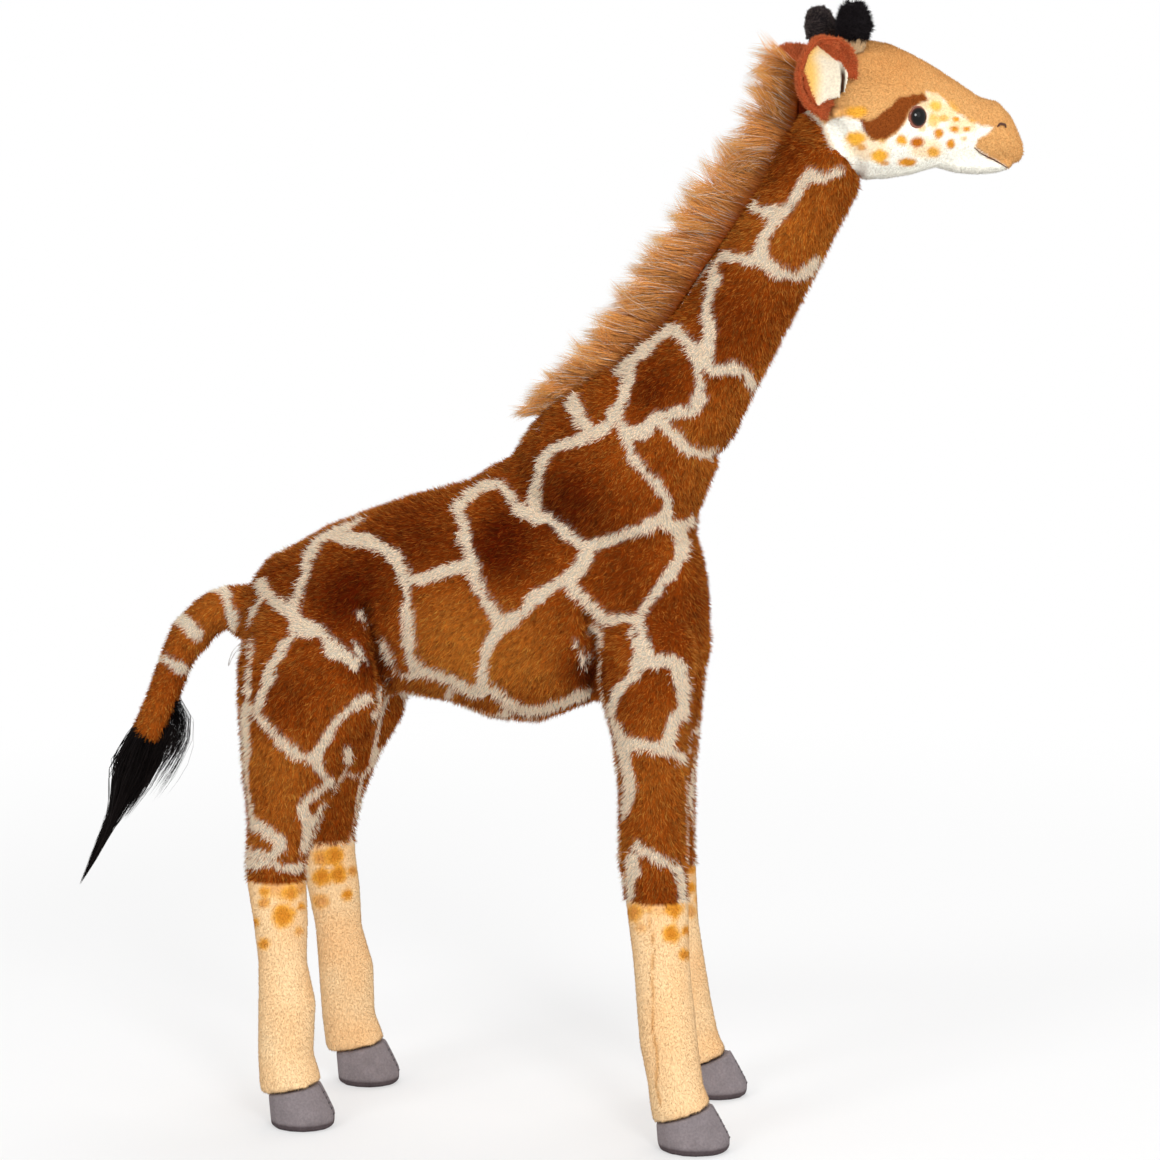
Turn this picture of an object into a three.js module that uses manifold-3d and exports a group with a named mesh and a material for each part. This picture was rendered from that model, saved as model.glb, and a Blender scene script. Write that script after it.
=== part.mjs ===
// A standing plush giraffe, sewn from pile fabric over stuffing and a bent steel wire frame.
// Millimetres, +Z up, head towards +X, standing on the floor at z = 0, centred over the origin.
// Limbs are stuffed lofts whose round ends sit in hollows of the larger piece, so that they can bend there.
import * as THREE from "three";
import { mergeVertices } from "three/addons/utils/BufferGeometryUtils.js";
import Module from "manifold-3d";

const wasm = await Module();
wasm.setup();

// Gaps: sewn_gap lies between pieces that touch, swing_gap between pieces that move, bore_gap round a wire.
const sewn_gap = 0.4;
const swing_gap = 0.8;
const bore_gap = 0.5;

// Wire frame
const rod_radius = 2.5;
const wire_radius = 1.6;
const eyelet_radius = 5;
const crossbar_reach = 53;

// Body: rump_reach and chest_reach lie beyond the two crossbars, and belly_drop below the hip's
const torso_length = 298;
const torso_height = 166;
const torso_width = 102;
const belly_drop = 38;
const rump_reach = 52;
const chest_reach = 35;

// Legs: each leg turns on a crossbar end at its top. A stride moves its foot, and a bow its middle, forward.
const leg_swing = 8;
const shoulder_rise = 12;
const foreleg_depth = 66;
const foreleg_width = 52;
const foreleg_seam_height = 152;
const foreleg_out = 34;
const hip_height = 292;
const hindleg_depth = 94;
const hindleg_width = 58;
const hindleg_seam_height = 155;
const hindleg_out = 33;
const foreleg_left_stride = -5;
const foreleg_left_bow = -8;
const hindleg_left_stride = 17;
const right_stride = 0;
const straight_bow = 0;

// Hooves
const fore_hoof_length = 47;
const hind_hoof_length = 43;
const fore_hoof_forward = 36;
const hind_hoof_forward = -5;
const hoof_width = 40;
const hoof_height = 40;
const fore_cuff_height = 25;
const hind_cuff_height = 26;
const fore_cuff_slope = 19;
const hind_cuff_slope = 12;
const insole_thickness = 2;
const insole_height = 2.5;
const insole_margin = 5;

// Neck
const neck_length = 257;
const neck_lean = 32.7;
const neck_depth = 132;
const neck_width = 100;
const neck_root_back = 30;
const neck_root_rise = 98;
const neck_ball_radius = 37;
const neck_ball_width = 32;
const neck_lip = 12;
const neck_skirt = 4;
const neck_bend = 8;

// Head
const head_length = 135;
const head_height = 88;
const head_width = 68;
const head_back_reach = 14.5;
const head_rest_turn = 16;
const head_nod = 12;
const head_ball_radius = 25;
const lip_length = 46;
const lip_height = 12;
const lip_width = 28;

// Eyes
const eye_radius = 6;
const eye_depth = 4;
const eye_edge = 0.5;
const eye_forward = 48;
const eye_rise = 16;
const eye_out = 24.5;
const eye_turn = 14;
const shank_radius = 1.5;
const shank_length = 11;
const washer_radius = 5;
const washer_thickness = 1.4;

// Ears
const ear_length = 55;
const ear_width = 42;
const ear_cup = 10;
const ear_thickness = 3.6;
const ear_rim = 5;
const lining_thickness = 1.2;
const ear_forward = -2;
const ear_root_radius = 4.5;
const ear_root_out = 3.4;
const ear_flap = 25;

// Horns
const horn_radius = 7.5;
const horn_height = 19;
const horn_left_forward = -1;
const horn_right_forward = 11;
const horn_out = 16;
const horn_rise = 62;
const horn_root = 30;
const horn_edge = 2.4;
const tuft_radius = 10;
const tuft_height = 22;
const horn_splay = 8;
const horn_lean_left = -14;
const horn_lean_right = -2;

// Mane
const mane_length = 24;
const mane_thickness = 17;

// Tail
const tail_radius = 12;
const tail_root_forward = 2;
const tail_root_rise = 29;
const tail_ball_radius = 9;
const tail_height = 68;
const tail_depth = 68;
const tail_drop = 10;
const tail_lift = 30;
const tail_lip = 7;
const tail_tuft_radius = 15.5;
const tail_tuft_length = 120;
const tail_tuft_lean = 27;

// Seam ribbon, a bare folded ribbon sewn in under the tail
const ribbon_length = 14;
const ribbon_width = 12;
const ribbon_thickness = 0.8;
const ribbon_drop = 24;

// How finely the lofts are divided, and how far cutting blocks reach
const body_sides = 20;
const limb_sides = 14;
const ball_sides = 16;
const small_sides = 10;
const wire_sides = 6;
const merge_distance = 1e-4;
const cut_reach = 800;

const front = new THREE.Vector3(1, 0, 0);
const side = new THREE.Vector3(0, 1, 0);
const up = new THREE.Vector3(0, 0, 1);
const down_way = new THREE.Vector3(0, 0, -1);
const radians = THREE.MathUtils.degToRad;

// The drawing starts at the hips. The whole toy is centred at the end.
const hip_x = 0;
const rump_x = hip_x - rump_reach;
const belly_height = hip_height - belly_drop;
const leg_spacing = torso_length - rump_reach - chest_reach;
const shoulder_x = hip_x + leg_spacing;
const shoulder_height = hip_height + shoulder_rise;

function material(colour, roughness, metalness = 0) {
  return new THREE.MeshStandardMaterial({ color: colour, roughness, metalness });
}

const brown_plush = material(0x9a4f18, 0.95);
const cream_plush = material(0xeec690, 0.95);
const tan_plush = material(0xd99c5a, 0.9);
const white_plush = material(0xf1ece0, 0.9);
const mane_plush = material(0xb26a33, 0.95);
const black_hair = material(0x141213, 0.8);
const ear_plush = material(0xa34a22, 0.9);
const hoof_velour = material(0x77706f, 0.9);
const eye_plastic = material(0x120c0a, 0.12);
const washer_plastic = material(0xd8d4c8, 0.6);
const steel_wire = material(0x8f9498, 0.35, 0.9);
const board = material(0xb59a6c, 0.9);
const white_ribbon = material(0xf4f2ee, 0.7);

// From a closed geometry to a solid that can be cut, and back
function solid(geometry) {
  const bare = geometry.clone();
  bare.deleteAttribute("normal");
  bare.deleteAttribute("uv");
  const merged = mergeVertices(bare, merge_distance);
  const triVerts = new Uint32Array(merged.index.array);
  const vertProperties = merged.attributes.position.array;
  return new wasm.Manifold(new wasm.Mesh({ numProp: 3, vertProperties, triVerts }));
}

function geometryOf(shape) {
  const mesh = shape.getMesh();
  const geometry = new THREE.BufferGeometry();
  geometry.setAttribute("position", new THREE.Float32BufferAttribute(mesh.vertProperties, 3));
  geometry.setIndex(new THREE.Uint32BufferAttribute(mesh.triVerts, 1));
  return geometry;
}

function piece(name, shape, colour) {
  const geometry = geometryOf(shape);
  geometry.computeVertexNormals();
  const mesh = new THREE.Mesh(geometry, colour);
  mesh.name = name;
  return mesh;
}

// A solid placed by a matrix. A mirroring matrix also turns its triangles over.
function moved(shape, matrix) {
  const geometry = geometryOf(shape).applyMatrix4(matrix);
  const triVerts = new Uint32Array(geometry.index.array);
  if (matrix.determinant() < 0) {
    for (let i = 0; i < triVerts.length; i += 3) {
      [triVerts[i], triVerts[i + 1]] = [triVerts[i + 1], triVerts[i]];
    }
  }
  const vertProperties = geometry.attributes.position.array;
  return new wasm.Manifold(new wasm.Mesh({ numProp: 3, vertProperties, triVerts }));
}

function turnedAbout(shape, point, axis, degrees) {
  const there = new THREE.Matrix4().makeTranslation(point.x, point.y, point.z);
  const turn = new THREE.Matrix4().makeRotationAxis(axis, radians(degrees));
  const back = new THREE.Matrix4().makeTranslation(-point.x, -point.y, -point.z);
  return moved(shape, there.multiply(turn).multiply(back));
}

// The room that a shape fills as it turns about an axis through a point
function swept(shape, point, axis, angles) {
  return angles.map((angle) => turnedAbout(shape, point, axis, angle)).reduce((a, b) => a.add(b));
}

// Everything on one side of a plane
function beyond(point, normal) {
  const geometry = new THREE.BoxGeometry(cut_reach, cut_reach, cut_reach);
  geometry.translate(0, 0, cut_reach / 2);
  geometry.applyQuaternion(new THREE.Quaternion().setFromUnitVectors(up, normal));
  geometry.translate(point.x, point.y, point.z);
  return solid(geometry);
}

// A table's row at a place along it, its first column, with smooth slopes between rows
function rowAt(rows, along) {
  const last = rows.length - 2;
  let i = 0;
  while (i < last && rows[i + 1][0] < along) i += 1;
  const slope = (k, c) => {
    const a = rows[Math.max(k - 1, 0)];
    const b = rows[Math.min(k + 1, rows.length - 1)];
    return (b[c] - a[c]) / (b[0] - a[0]);
  };
  const span = rows[i + 1][0] - rows[i][0];
  const t = (along - rows[i][0]) / span;
  return rows[i].map((value, c) => {
    const rise = rows[i + 1][c] - value;
    const bend = (1 - t) * (slope(i, c) * span - rise) - t * (slope(i + 1, c) * span - rise);
    return value + t * rise + t * (1 - t) * bend;
  });
}

// The rows between two places: each row of the table, and some more between them where steps is over 1
function rowsBetween(rows, from, to, steps = 1) {
  const inside = rows.map((row) => row[0]).filter((along) => along > from && along < to);
  const stops = [from, ...inside, to];
  const found = [];
  stops.slice(1).forEach((stop, i) => {
    for (let k = 0; k < steps; k += 1) found.push(rowAt(rows, stops[i] + ((stop - stops[i]) * k) / steps));
  });
  found.push(rowAt(rows, to));
  return found;
}

// A stuffed shape through rings {at, deep, wide}. Depth lies in the XZ plane and width along Y.
// Rings stand square to `axis`, or to the line through their centres where no axis is given.
function stuffed(rings, sides, axis) {
  const points = [];
  const faces = [];
  rings.forEach((ring, i) => {
    const before = rings[Math.max(i - 1, 0)].at;
    const after = rings[Math.min(i + 1, rings.length - 1)].at;
    const along = axis ? axis : after.clone().sub(before);
    const out = new THREE.Vector3().crossVectors(side, along).normalize();
    for (let k = 0; k < sides; k += 1) {
      const angle = (2 * Math.PI * k) / sides;
      const p = ring.at.clone().addScaledVector(out, ring.deep * Math.cos(angle));
      p.addScaledVector(side, ring.wide * Math.sin(angle));
      points.push(p.x, p.y, p.z);
    }
  });
  const first = points.length / 3;
  const ends = [rings[0].at, rings[rings.length - 1].at];
  ends.forEach((p) => points.push(p.x, p.y, p.z));
  for (let i = 0; i < rings.length - 1; i += 1) {
    for (let k = 0; k < sides; k += 1) {
      const a = i * sides + k;
      const b = i * sides + ((k + 1) % sides);
      faces.push(a, b, a + sides, b, b + sides, a + sides);
    }
  }
  const top = (rings.length - 1) * sides;
  for (let k = 0; k < sides; k += 1) {
    const next = (k + 1) % sides;
    faces.push(first, next, k, first + 1, top + k, top + next);
  }
  const geometry = new THREE.BufferGeometry();
  geometry.setAttribute("position", new THREE.Float32BufferAttribute(points, 3));
  geometry.setIndex(faces);
  return solid(geometry);
}

// A ball whose poles lie along Y, the axis that most joints turn about
function ball(at, deep, wide = deep, sides = limb_sides) {
  const geometry = new THREE.SphereGeometry(1, sides, Math.ceil((sides * 2) / 3));
  geometry.scale(deep, wide, deep);
  geometry.translate(at.x, at.y, at.z);
  return solid(geometry);
}

// A round rod between two points
function rod(from, to, radius, sides = small_sides) {
  const way = to.clone().sub(from);
  const geometry = new THREE.CylinderGeometry(radius, radius, way.length(), sides);
  geometry.applyQuaternion(new THREE.Quaternion().setFromUnitVectors(side, way.clone().normalize()));
  const middle = from.clone().addScaledVector(way, 1 / 2);
  geometry.translate(middle.x, middle.y, middle.z);
  return solid(geometry);
}

// A wire bent along points
function bentWire(points, radius, steps) {
  const section = new THREE.Shape();
  section.absarc(0, 0, radius, 0, 2 * Math.PI);
  const extrudePath = new THREE.CatmullRomCurve3(points);
  const options = { steps, curveSegments: wire_sides, bevelEnabled: false, extrudePath };
  return solid(new THREE.ExtrudeGeometry(section, options));
}

// Body: a barrel from the rump to the chest. Columns are along, middle height, half height, half width.
const torso_shares = [
  [0, 0.373, 0.06, 0.088],
  [0.016, 0.373, 0.169, 0.228],
  [0.052, 0.38, 0.247, 0.333],
  [0.108, 0.386, 0.289, 0.404],
  [0.184, 0.422, 0.331, 0.456],
  [0.269, 0.452, 0.361, 0.474],
  [0.354, 0.482, 0.386, 0.482],
  [0.439, 0.494, 0.416, 0.491],
  [0.538, 0.488, 0.476, 0.5],
  [0.636, 0.5, 0.5, 0.5],
  [0.734, 0.53, 0.458, 0.482],
  [0.833, 0.554, 0.434, 0.447],
  [0.915, 0.53, 0.373, 0.395],
  [0.964, 0.482, 0.301, 0.325],
  [0.99, 0.446, 0.181, 0.21],
  [1, 0.428, 0.054, 0.07],
];

function barrel(grow = 0) {
  const last = torso_shares.length - 1;
  const rings = torso_shares.map(([along, rise, high, wide], i) => {
    const end = i === 0 ? -grow : i === last ? grow : 0;
    const at = new THREE.Vector3(rump_x + along * torso_length + end, 0, belly_height + rise * torso_height);
    return { at, deep: high * torso_height + grow, wide: wide * torso_width + grow };
  });
  return stuffed(rings, body_sides, front);
}

// The room that a loft along X needs as it tips about a hinge. Each ring grows with its distance from the hinge,
// and takes the highest, lowest and widest that the tipping brings there, as far above or below the hinge as reach.
function tippingRings(rows, start, size, hinge, swing, reach) {
  const tip = Math.sin(radians(swing));
  const shift = (reach * tip) / size.x;
  const out = reach * tip + swing_gap;
  return rows.map(([along], i) => {
    const found = [along - shift, along, along + shift].map((at) => rowAt(rows, Math.min(Math.max(at, 0), 1)));
    const top = Math.max(...found.map(([, rise, high]) => rise + high)) * size.z;
    const low = Math.min(...found.map(([, rise, high]) => rise - high)) * size.z;
    const wide = Math.max(...found.map((row) => row[3])) * size.y;
    const end = i === 0 ? -out : i === rows.length - 1 ? out : 0;
    const x = start.x + along * size.x + end;
    const half = (top - low) / 2;
    const lift = Math.abs(x - hinge.x) * tip;
    return {
      at: new THREE.Vector3(x, 0, start.z + (top + low) / 2),
      deep: half + lift + swing_gap,
      wide: wide * Math.sqrt(1 + lift / half) + swing_gap,
    };
  });
}

// The barrel's room, seen from a leg
function barrelRoom(leg) {
  const start = new THREE.Vector3(rump_x, 0, belly_height);
  const size = new THREE.Vector3(torso_length, torso_width, torso_height);
  const hinge = new THREE.Vector3(leg.x, 0, leg.height);
  const reach = Math.max(leg.depth / 2, leg.height - belly_height);
  return stuffed(tippingRings(torso_shares, start, size, hinge, leg_swing, reach), body_sides, front);
}

// Neck: columns are along, forward of the straight line, half depth, half width.
const neck_shares = [
  [-0.08, -0.01, 0.44, 0.44],
  [0, 0, 0.5, 0.5],
  [0.097, -0.014, 0.44, 0.46],
  [0.286, 0.039, 0.33, 0.38],
  [0.463, 0.07, 0.261, 0.32],
  [0.647, 0.056, 0.239, 0.295],
  [0.844, 0.036, 0.216, 0.275],
  [1, 0, 0.224, 0.28],
];
const neck_base_share = 0.286;
const neck_turn_share = 0.647;
const neck_bow_share = 0.463;
const slope_share = 0.02;
const neck_up = up.clone().applyAxisAngle(side, radians(neck_lean));
const neck_front = front.clone().applyAxisAngle(side, radians(neck_lean));
const neck_root = new THREE.Vector3(shoulder_x - neck_root_back, 0, shoulder_height + neck_root_rise);

function neckPoint(share) {
  const [, forward] = rowAt(neck_shares, share);
  const p = neck_root.clone().addScaledVector(neck_up, share * neck_length);
  return p.addScaledVector(neck_front, forward * neck_depth);
}

function neckTube(from, to, grow = 0, sides = limb_sides) {
  const rings = rowsBetween(neck_shares, from, to).map(([along, , deep, wide]) => ({
    at: neckPoint(along),
    deep: deep * neck_depth + grow,
    wide: wide * neck_width + grow,
  }));
  return stuffed(rings, sides);
}

const neck_pivot = neckPoint(neck_base_share);
const head_pivot = neckPoint(1);
const turn_point = neckPoint(neck_turn_share);
const turn_axis = neckPoint(neck_turn_share + slope_share)
  .sub(neckPoint(neck_turn_share - slope_share))
  .normalize();
const neck_lip_share = neck_base_share - neck_lip / neck_length;
const neck_skirt_share = neck_base_share - neck_skirt / neck_length;

// Mane: a strip of long pile down the back of the neck. Columns are along the neck, and pile length.
const mane_shares = [
  [0.02, 0.15],
  [0.06, 0.6],
  [0.2, 0.9],
  [0.5, 1],
  [0.8, 1],
  [0.97, 1.1],
  [1.03, 0.9],
];
const mane_start_share = 0.02;
const mane_end_share = 1.03;
const mane_sunk_share = 0.35;

function maneStrip(from, to) {
  const rings = rowsBetween(mane_shares, from, to, 2).map(([along, pile]) => {
    const on_neck = Math.min(along, 1);
    const [, , deep] = rowAt(neck_shares, on_neck);
    const back = deep * neck_depth + pile * mane_length * mane_sunk_share;
    const at = neckPoint(on_neck).addScaledVector(neck_front, -back);
    at.addScaledVector(neck_up, (along - on_neck) * neck_length);
    return { at, deep: (pile * mane_length) / 2, wide: mane_thickness / 2 };
  });
  return stuffed(rings, limb_sides, neck_up);
}

// Legs: columns are down from the crossbar, forward, outward, half depth, half width.
const foreleg_shares = [
  [0, 0, 0, 0.5, 0.5],
  [0.083, 0.022, 0.05, 0.447, 0.48],
  [0.16, 0.075, 0.12, 0.386, 0.45],
  [0.283, 0.11, 0.22, 0.333, 0.4],
  [0.407, 0.118, 0.3, 0.343, 0.39],
  [0.5, 0.171, 0.38, 0.303, 0.36],
  [0.617, 0.22, 0.45, 0.274, 0.335],
  [0.783, 0.3, 0.52, 0.285, 0.345],
  [0.867, 0.37, 0.55, 0.27, 0.33],
  [0.907, 0.42, 0.56, 0.3, 0.365],
  [0.97, 0.46, 0.56, 0.29, 0.355],
];
const hindleg_shares = [
  [0, 0, 0, 0.5, 0.5],
  [0.063, 0, 0.03, 0.5, 0.48],
  [0.149, -0.04, 0.08, 0.447, 0.45],
  [0.24, -0.13, 0.15, 0.34, 0.4],
  [0.34, -0.19, 0.21, 0.25, 0.36],
  [0.424, -0.239, 0.25, 0.218, 0.33],
  [0.549, -0.205, 0.29, 0.191, 0.3],
  [0.639, -0.191, 0.31, 0.17, 0.275],
  [0.729, -0.16, 0.33, 0.202, 0.295],
  [0.84, -0.17, 0.35, 0.195, 0.29],
  [0.906, -0.133, 0.36, 0.222, 0.32],
  [0.965, -0.12, 0.36, 0.21, 0.31],
];

const foreleg = {
  rows: foreleg_shares,
  x: shoulder_x,
  out: foreleg_out,
  height: shoulder_height,
  depth: foreleg_depth,
  width: foreleg_width,
  seam: foreleg_seam_height,
  cuff: fore_cuff_height,
  slope: fore_cuff_slope,
  hoof_forward: fore_hoof_forward,
  hoof_length: fore_hoof_length,
};
const hindleg = {
  rows: hindleg_shares,
  x: hip_x,
  out: hindleg_out,
  height: hip_height,
  depth: hindleg_depth,
  width: hindleg_width,
  seam: hindleg_seam_height,
  cuff: hind_cuff_height,
  slope: hind_cuff_slope,
  hoof_forward: hind_hoof_forward,
  hoof_length: hind_hoof_length,
};
const legs = [
  { ...foreleg, name: "foreleg_left", hand: 1, stride: foreleg_left_stride, bow: foreleg_left_bow },
  { ...foreleg, name: "foreleg_right", hand: -1, stride: right_stride, bow: straight_bow },
  { ...hindleg, name: "hindleg_left", hand: 1, stride: hindleg_left_stride, bow: straight_bow },
  { ...hindleg, name: "hindleg_right", hand: -1, stride: right_stride, bow: straight_bow },
];

function legPoint(leg, down) {
  const [, forward, outward] = rowAt(leg.rows, down);
  const x = leg.x + forward * leg.depth + down * leg.stride + Math.sin(down * Math.PI) * leg.bow;
  return new THREE.Vector3(x, leg.hand * (leg.out + outward * leg.width), leg.height * (1 - down));
}

function legTube(leg, from, to) {
  const rings = rowsBetween(leg.rows, from, to).map(([down, , , deep, wide]) => ({
    at: legPoint(leg, down),
    deep: deep * leg.depth,
    wide: wide * leg.width,
  }));
  return stuffed(rings, limb_sides, down_way);
}

function lowestShare(leg) {
  return leg.rows[leg.rows.length - 1][0];
}

function crossbar(leg, radius, reach) {
  const from = new THREE.Vector3(leg.x, -reach, leg.height);
  const to = new THREE.Vector3(leg.x, reach, leg.height);
  return rod(from, to, radius);
}

// The leg wire's eyelet turns on the crossbar's end, and the wire runs down to the insole
const eyelet_place = crossbar_reach - 2 * wire_radius;

function legWire(leg, grow = 0) {
  const top = new THREE.Vector3(leg.x, leg.hand * eyelet_place, leg.height - eyelet_radius);
  const stops = leg.rows.map((row) => row[0]).filter((down, i) => i > 1 && i % 2 === 0);
  const foot = legPoint(leg, lowestShare(leg));
  foot.z = insole_height + insole_thickness + sewn_gap;
  const bends = stops.map((down) => legPoint(leg, down)).filter((p) => p.z > leg.cuff);
  return bentWire([top, ...bends, foot], wire_radius + grow, bends.length + 3);
}

function eyelet(leg) {
  const geometry = new THREE.TorusGeometry(eyelet_radius, wire_radius, wire_sides, small_sides);
  geometry.rotateX(Math.PI / 2);
  geometry.translate(leg.x, leg.hand * eyelet_place, leg.height);
  return solid(geometry);
}

function eyeletRoom(leg) {
  const reach = wire_radius + bore_gap;
  const from = new THREE.Vector3(leg.x, leg.hand * eyelet_place - reach, leg.height);
  const to = from.clone().addScaledVector(side, 2 * reach);
  return rod(from, to, eyelet_radius + reach);
}

// Hoof: columns are height, forward, half length, half width.
const hoof_shares = [
  [0, 0, 0.44, 0.43],
  [0.05, 0, 0.48, 0.475],
  [0.22, -0.005, 0.49, 0.49],
  [0.47, -0.07, 0.44, 0.47],
  [0.75, -0.15, 0.38, 0.43],
  [1, -0.2, 0.33, 0.4],
];

function hoofPlace(leg) {
  const foot = legPoint(leg, lowestShare(leg));
  return new THREE.Vector3(leg.x + leg.hoof_forward + leg.stride, foot.y, 0);
}

function hoofSolid(leg) {
  const place = hoofPlace(leg);
  const rings = hoof_shares.map(([high, forward, long, wide]) => ({
    at: place.clone().add(new THREE.Vector3(forward * leg.hoof_length, 0, high * hoof_height)),
    deep: long * leg.hoof_length,
    wide: wide * hoof_width,
  }));
  return stuffed(rings, limb_sides, up);
}

function insoleSolid(leg, grow = 0) {
  const place = hoofPlace(leg);
  const rings = [insole_height - grow, insole_height + insole_thickness + grow].map((z) => ({
    at: place.clone().addScaledVector(up, z),
    deep: leg.hoof_length / 2 - insole_margin + grow,
    wide: hoof_width / 2 - insole_margin + grow,
  }));
  return stuffed(rings, limb_sides, up);
}

function legMeshes(leg) {
  const channel = legWire(leg, bore_gap);
  const seam_share = 1 - leg.seam / leg.height;
  const shoulder = new THREE.Vector3(leg.x, leg.hand * leg.out, leg.height);
  const thigh = legTube(leg, 0, seam_share)
    .add(ball(shoulder, leg.depth / 2, leg.width / 2))
    .subtract(barrelRoom(leg))
    .subtract(crossbar(leg, rod_radius + bore_gap, crossbar_reach + bore_gap))
    .subtract(eyeletRoom(leg))
    .subtract(channel);
  const cuff_normal = up.clone().applyAxisAngle(side, -radians(leg.slope));
  const cuff_point = hoofPlace(leg).setZ(leg.cuff);
  const below = cuff_point.clone().addScaledVector(up, -sewn_gap);
  const shank = legTube(leg, seam_share + sewn_gap / leg.height, lowestShare(leg))
    .subtract(beyond(cuff_point, cuff_normal.clone().negate()))
    .subtract(channel);
  const hoof = hoofSolid(leg)
    .subtract(beyond(below, cuff_normal))
    .subtract(channel)
    .subtract(insoleSolid(leg, sewn_gap));
  const group = new THREE.Group();
  group.add(piece(`${leg.name}_thigh`, thigh, brown_plush));
  group.add(piece(`${leg.name}_shank`, shank, cream_plush));
  group.add(piece(`${leg.name}_hoof`, hoof, hoof_velour));
  group.add(piece(`${leg.name}_insole`, insoleSolid(leg), board));
  group.add(piece(`${leg.name}_wire`, legWire(leg).add(eyelet(leg)), steel_wire));
  return group;
}

// Tail: columns are along, backward (a share of its depth), height and thickness.
const tail_shares = [
  [0, 0, 1, 1.05],
  [0.12, 0.16, 1.05, 1.02],
  [0.28, 0.36, 0.99, 0.98],
  [0.47, 0.59, 0.78, 0.9],
  [0.62, 0.73, 0.55, 0.79],
  [0.8, 0.86, 0.25, 0.73],
  [1, 1, 0, 0.74],
];
const tail_joint_share = 0.47;
const tail_joint_ball_share = 0.7;
const tail_root = new THREE.Vector3(rump_x + tail_root_forward, 0, hip_height + tail_root_rise);

function tailPoint(along) {
  const [, back, rise] = rowAt(tail_shares, along);
  return tail_root.clone().add(new THREE.Vector3(-back * tail_depth, 0, (rise - 1) * tail_height));
}

function tailTube(from, to, grow = 0) {
  const rings = rowsBetween(tail_shares, from, to, 2).map(([along, , , thick]) => ({
    at: tailPoint(along),
    deep: thick * tail_radius + grow,
    wide: thick * tail_radius + grow,
  }));
  return stuffed(rings, limb_sides);
}

function tailWire(from, to, radius) {
  const inside = tail_shares.map((row) => row[0]).filter((along) => along > from && along < to);
  const points = [from, ...inside, to].map(tailPoint);
  return bentWire(points, radius, points.length + 1);
}

const tail_pivot = tailPoint(tail_joint_share);
const tail_end = tailPoint(1);
const tail_joint_radius = tail_radius * tail_joint_ball_share;

// Tail tuft: a drop of hair that ends in a wisp. Columns are along and thickness.
const tuft_shares = [
  [0.004, 0.5],
  [0.05, 0.78],
  [0.16, 0.98],
  [0.28, 1],
  [0.42, 0.68],
  [0.6, 0.34],
  [0.8, 0.16],
  [1, 0.06],
];

function tailTuft() {
  const way = down_way.clone().applyAxisAngle(side, radians(tail_tuft_lean));
  const rings = tuft_shares.map(([along, thick]) => ({
    at: tail_end.clone().addScaledVector(way, along * tail_tuft_length),
    deep: thick * tail_tuft_radius,
    wide: thick * tail_tuft_radius,
  }));
  return stuffed(rings, limb_sides, way).subtract(tailTube(tail_joint_share, 1, sewn_gap));
}

function tailMeshes() {
  const lip_share = tail_joint_share - tail_lip / (tail_height + tail_depth);
  const wire_start = tail_ball_radius + swing_gap + bore_gap;
  const root_room = ball(tail_root, tail_ball_radius + swing_gap);
  const upper = tailTube(0, lip_share)
    .add(ball(tail_pivot, tail_joint_radius))
    .subtract(swept(barrel(swing_gap), tail_root, side, [-tail_lift, 0, tail_drop]))
    .subtract(root_room)
    .subtract(tailWire(0, lip_share, wire_radius + bore_gap));
  const upper_wire = tailWire(0, lip_share, wire_radius).subtract(ball(tail_root, wire_start));
  const lower = tailTube(tail_joint_share, 1)
    .subtract(ball(tail_pivot, tail_joint_radius + swing_gap))
    .subtract(tailWire(tail_joint_share, 1, wire_radius + bore_gap));
  const lower_wire = tailWire(tail_joint_share, 1, wire_radius)
    .subtract(ball(tail_pivot, tail_joint_radius + swing_gap + bore_gap))
    .subtract(ball(tail_end, wire_radius + bore_gap));
  const group = new THREE.Group();
  group.add(piece("tail_upper", upper, brown_plush));
  group.add(piece("tail_upper_wire", upper_wire, steel_wire));
  group.add(piece("tail_lower", lower, brown_plush));
  group.add(piece("tail_lower_wire", lower_wire, steel_wire));
  group.add(piece("tail_tuft", tailTuft(), black_hair));
  return group;
}

// Spine: lies on both crossbars and rises into the ball under the neck. Columns are along and rise.
const spine_shares = [
  [-0.13, 0.02],
  [0, 0],
  [0.4, 0.09],
  [0.75, 0.1],
  [0.95, 0.03],
];
const spine_rise = 2 * rod_radius + sewn_gap;

function spine(radius) {
  const line = spine_shares.map(([along, rise]) => {
    const level = hip_height + along * (shoulder_height - hip_height);
    return new THREE.Vector3(hip_x + along * leg_spacing, 0, level + spine_rise + rise * torso_height);
  });
  const bend = neck_pivot.clone().addScaledVector(neck_up, -2 * neck_ball_radius);
  const top = neck_pivot.clone().addScaledVector(neck_up, neck_ball_radius - bore_gap);
  return bentWire([...line, bend, neck_pivot, top], radius, line.length * 3);
}

// The spine's bore, open at the top of the ball
function spineBore() {
  const radius = rod_radius + bore_gap;
  const mouth = neck_pivot.clone().addScaledVector(neck_up, neck_ball_radius + bore_gap);
  return spine(radius).add(rod(neck_pivot, mouth, radius));
}

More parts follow.
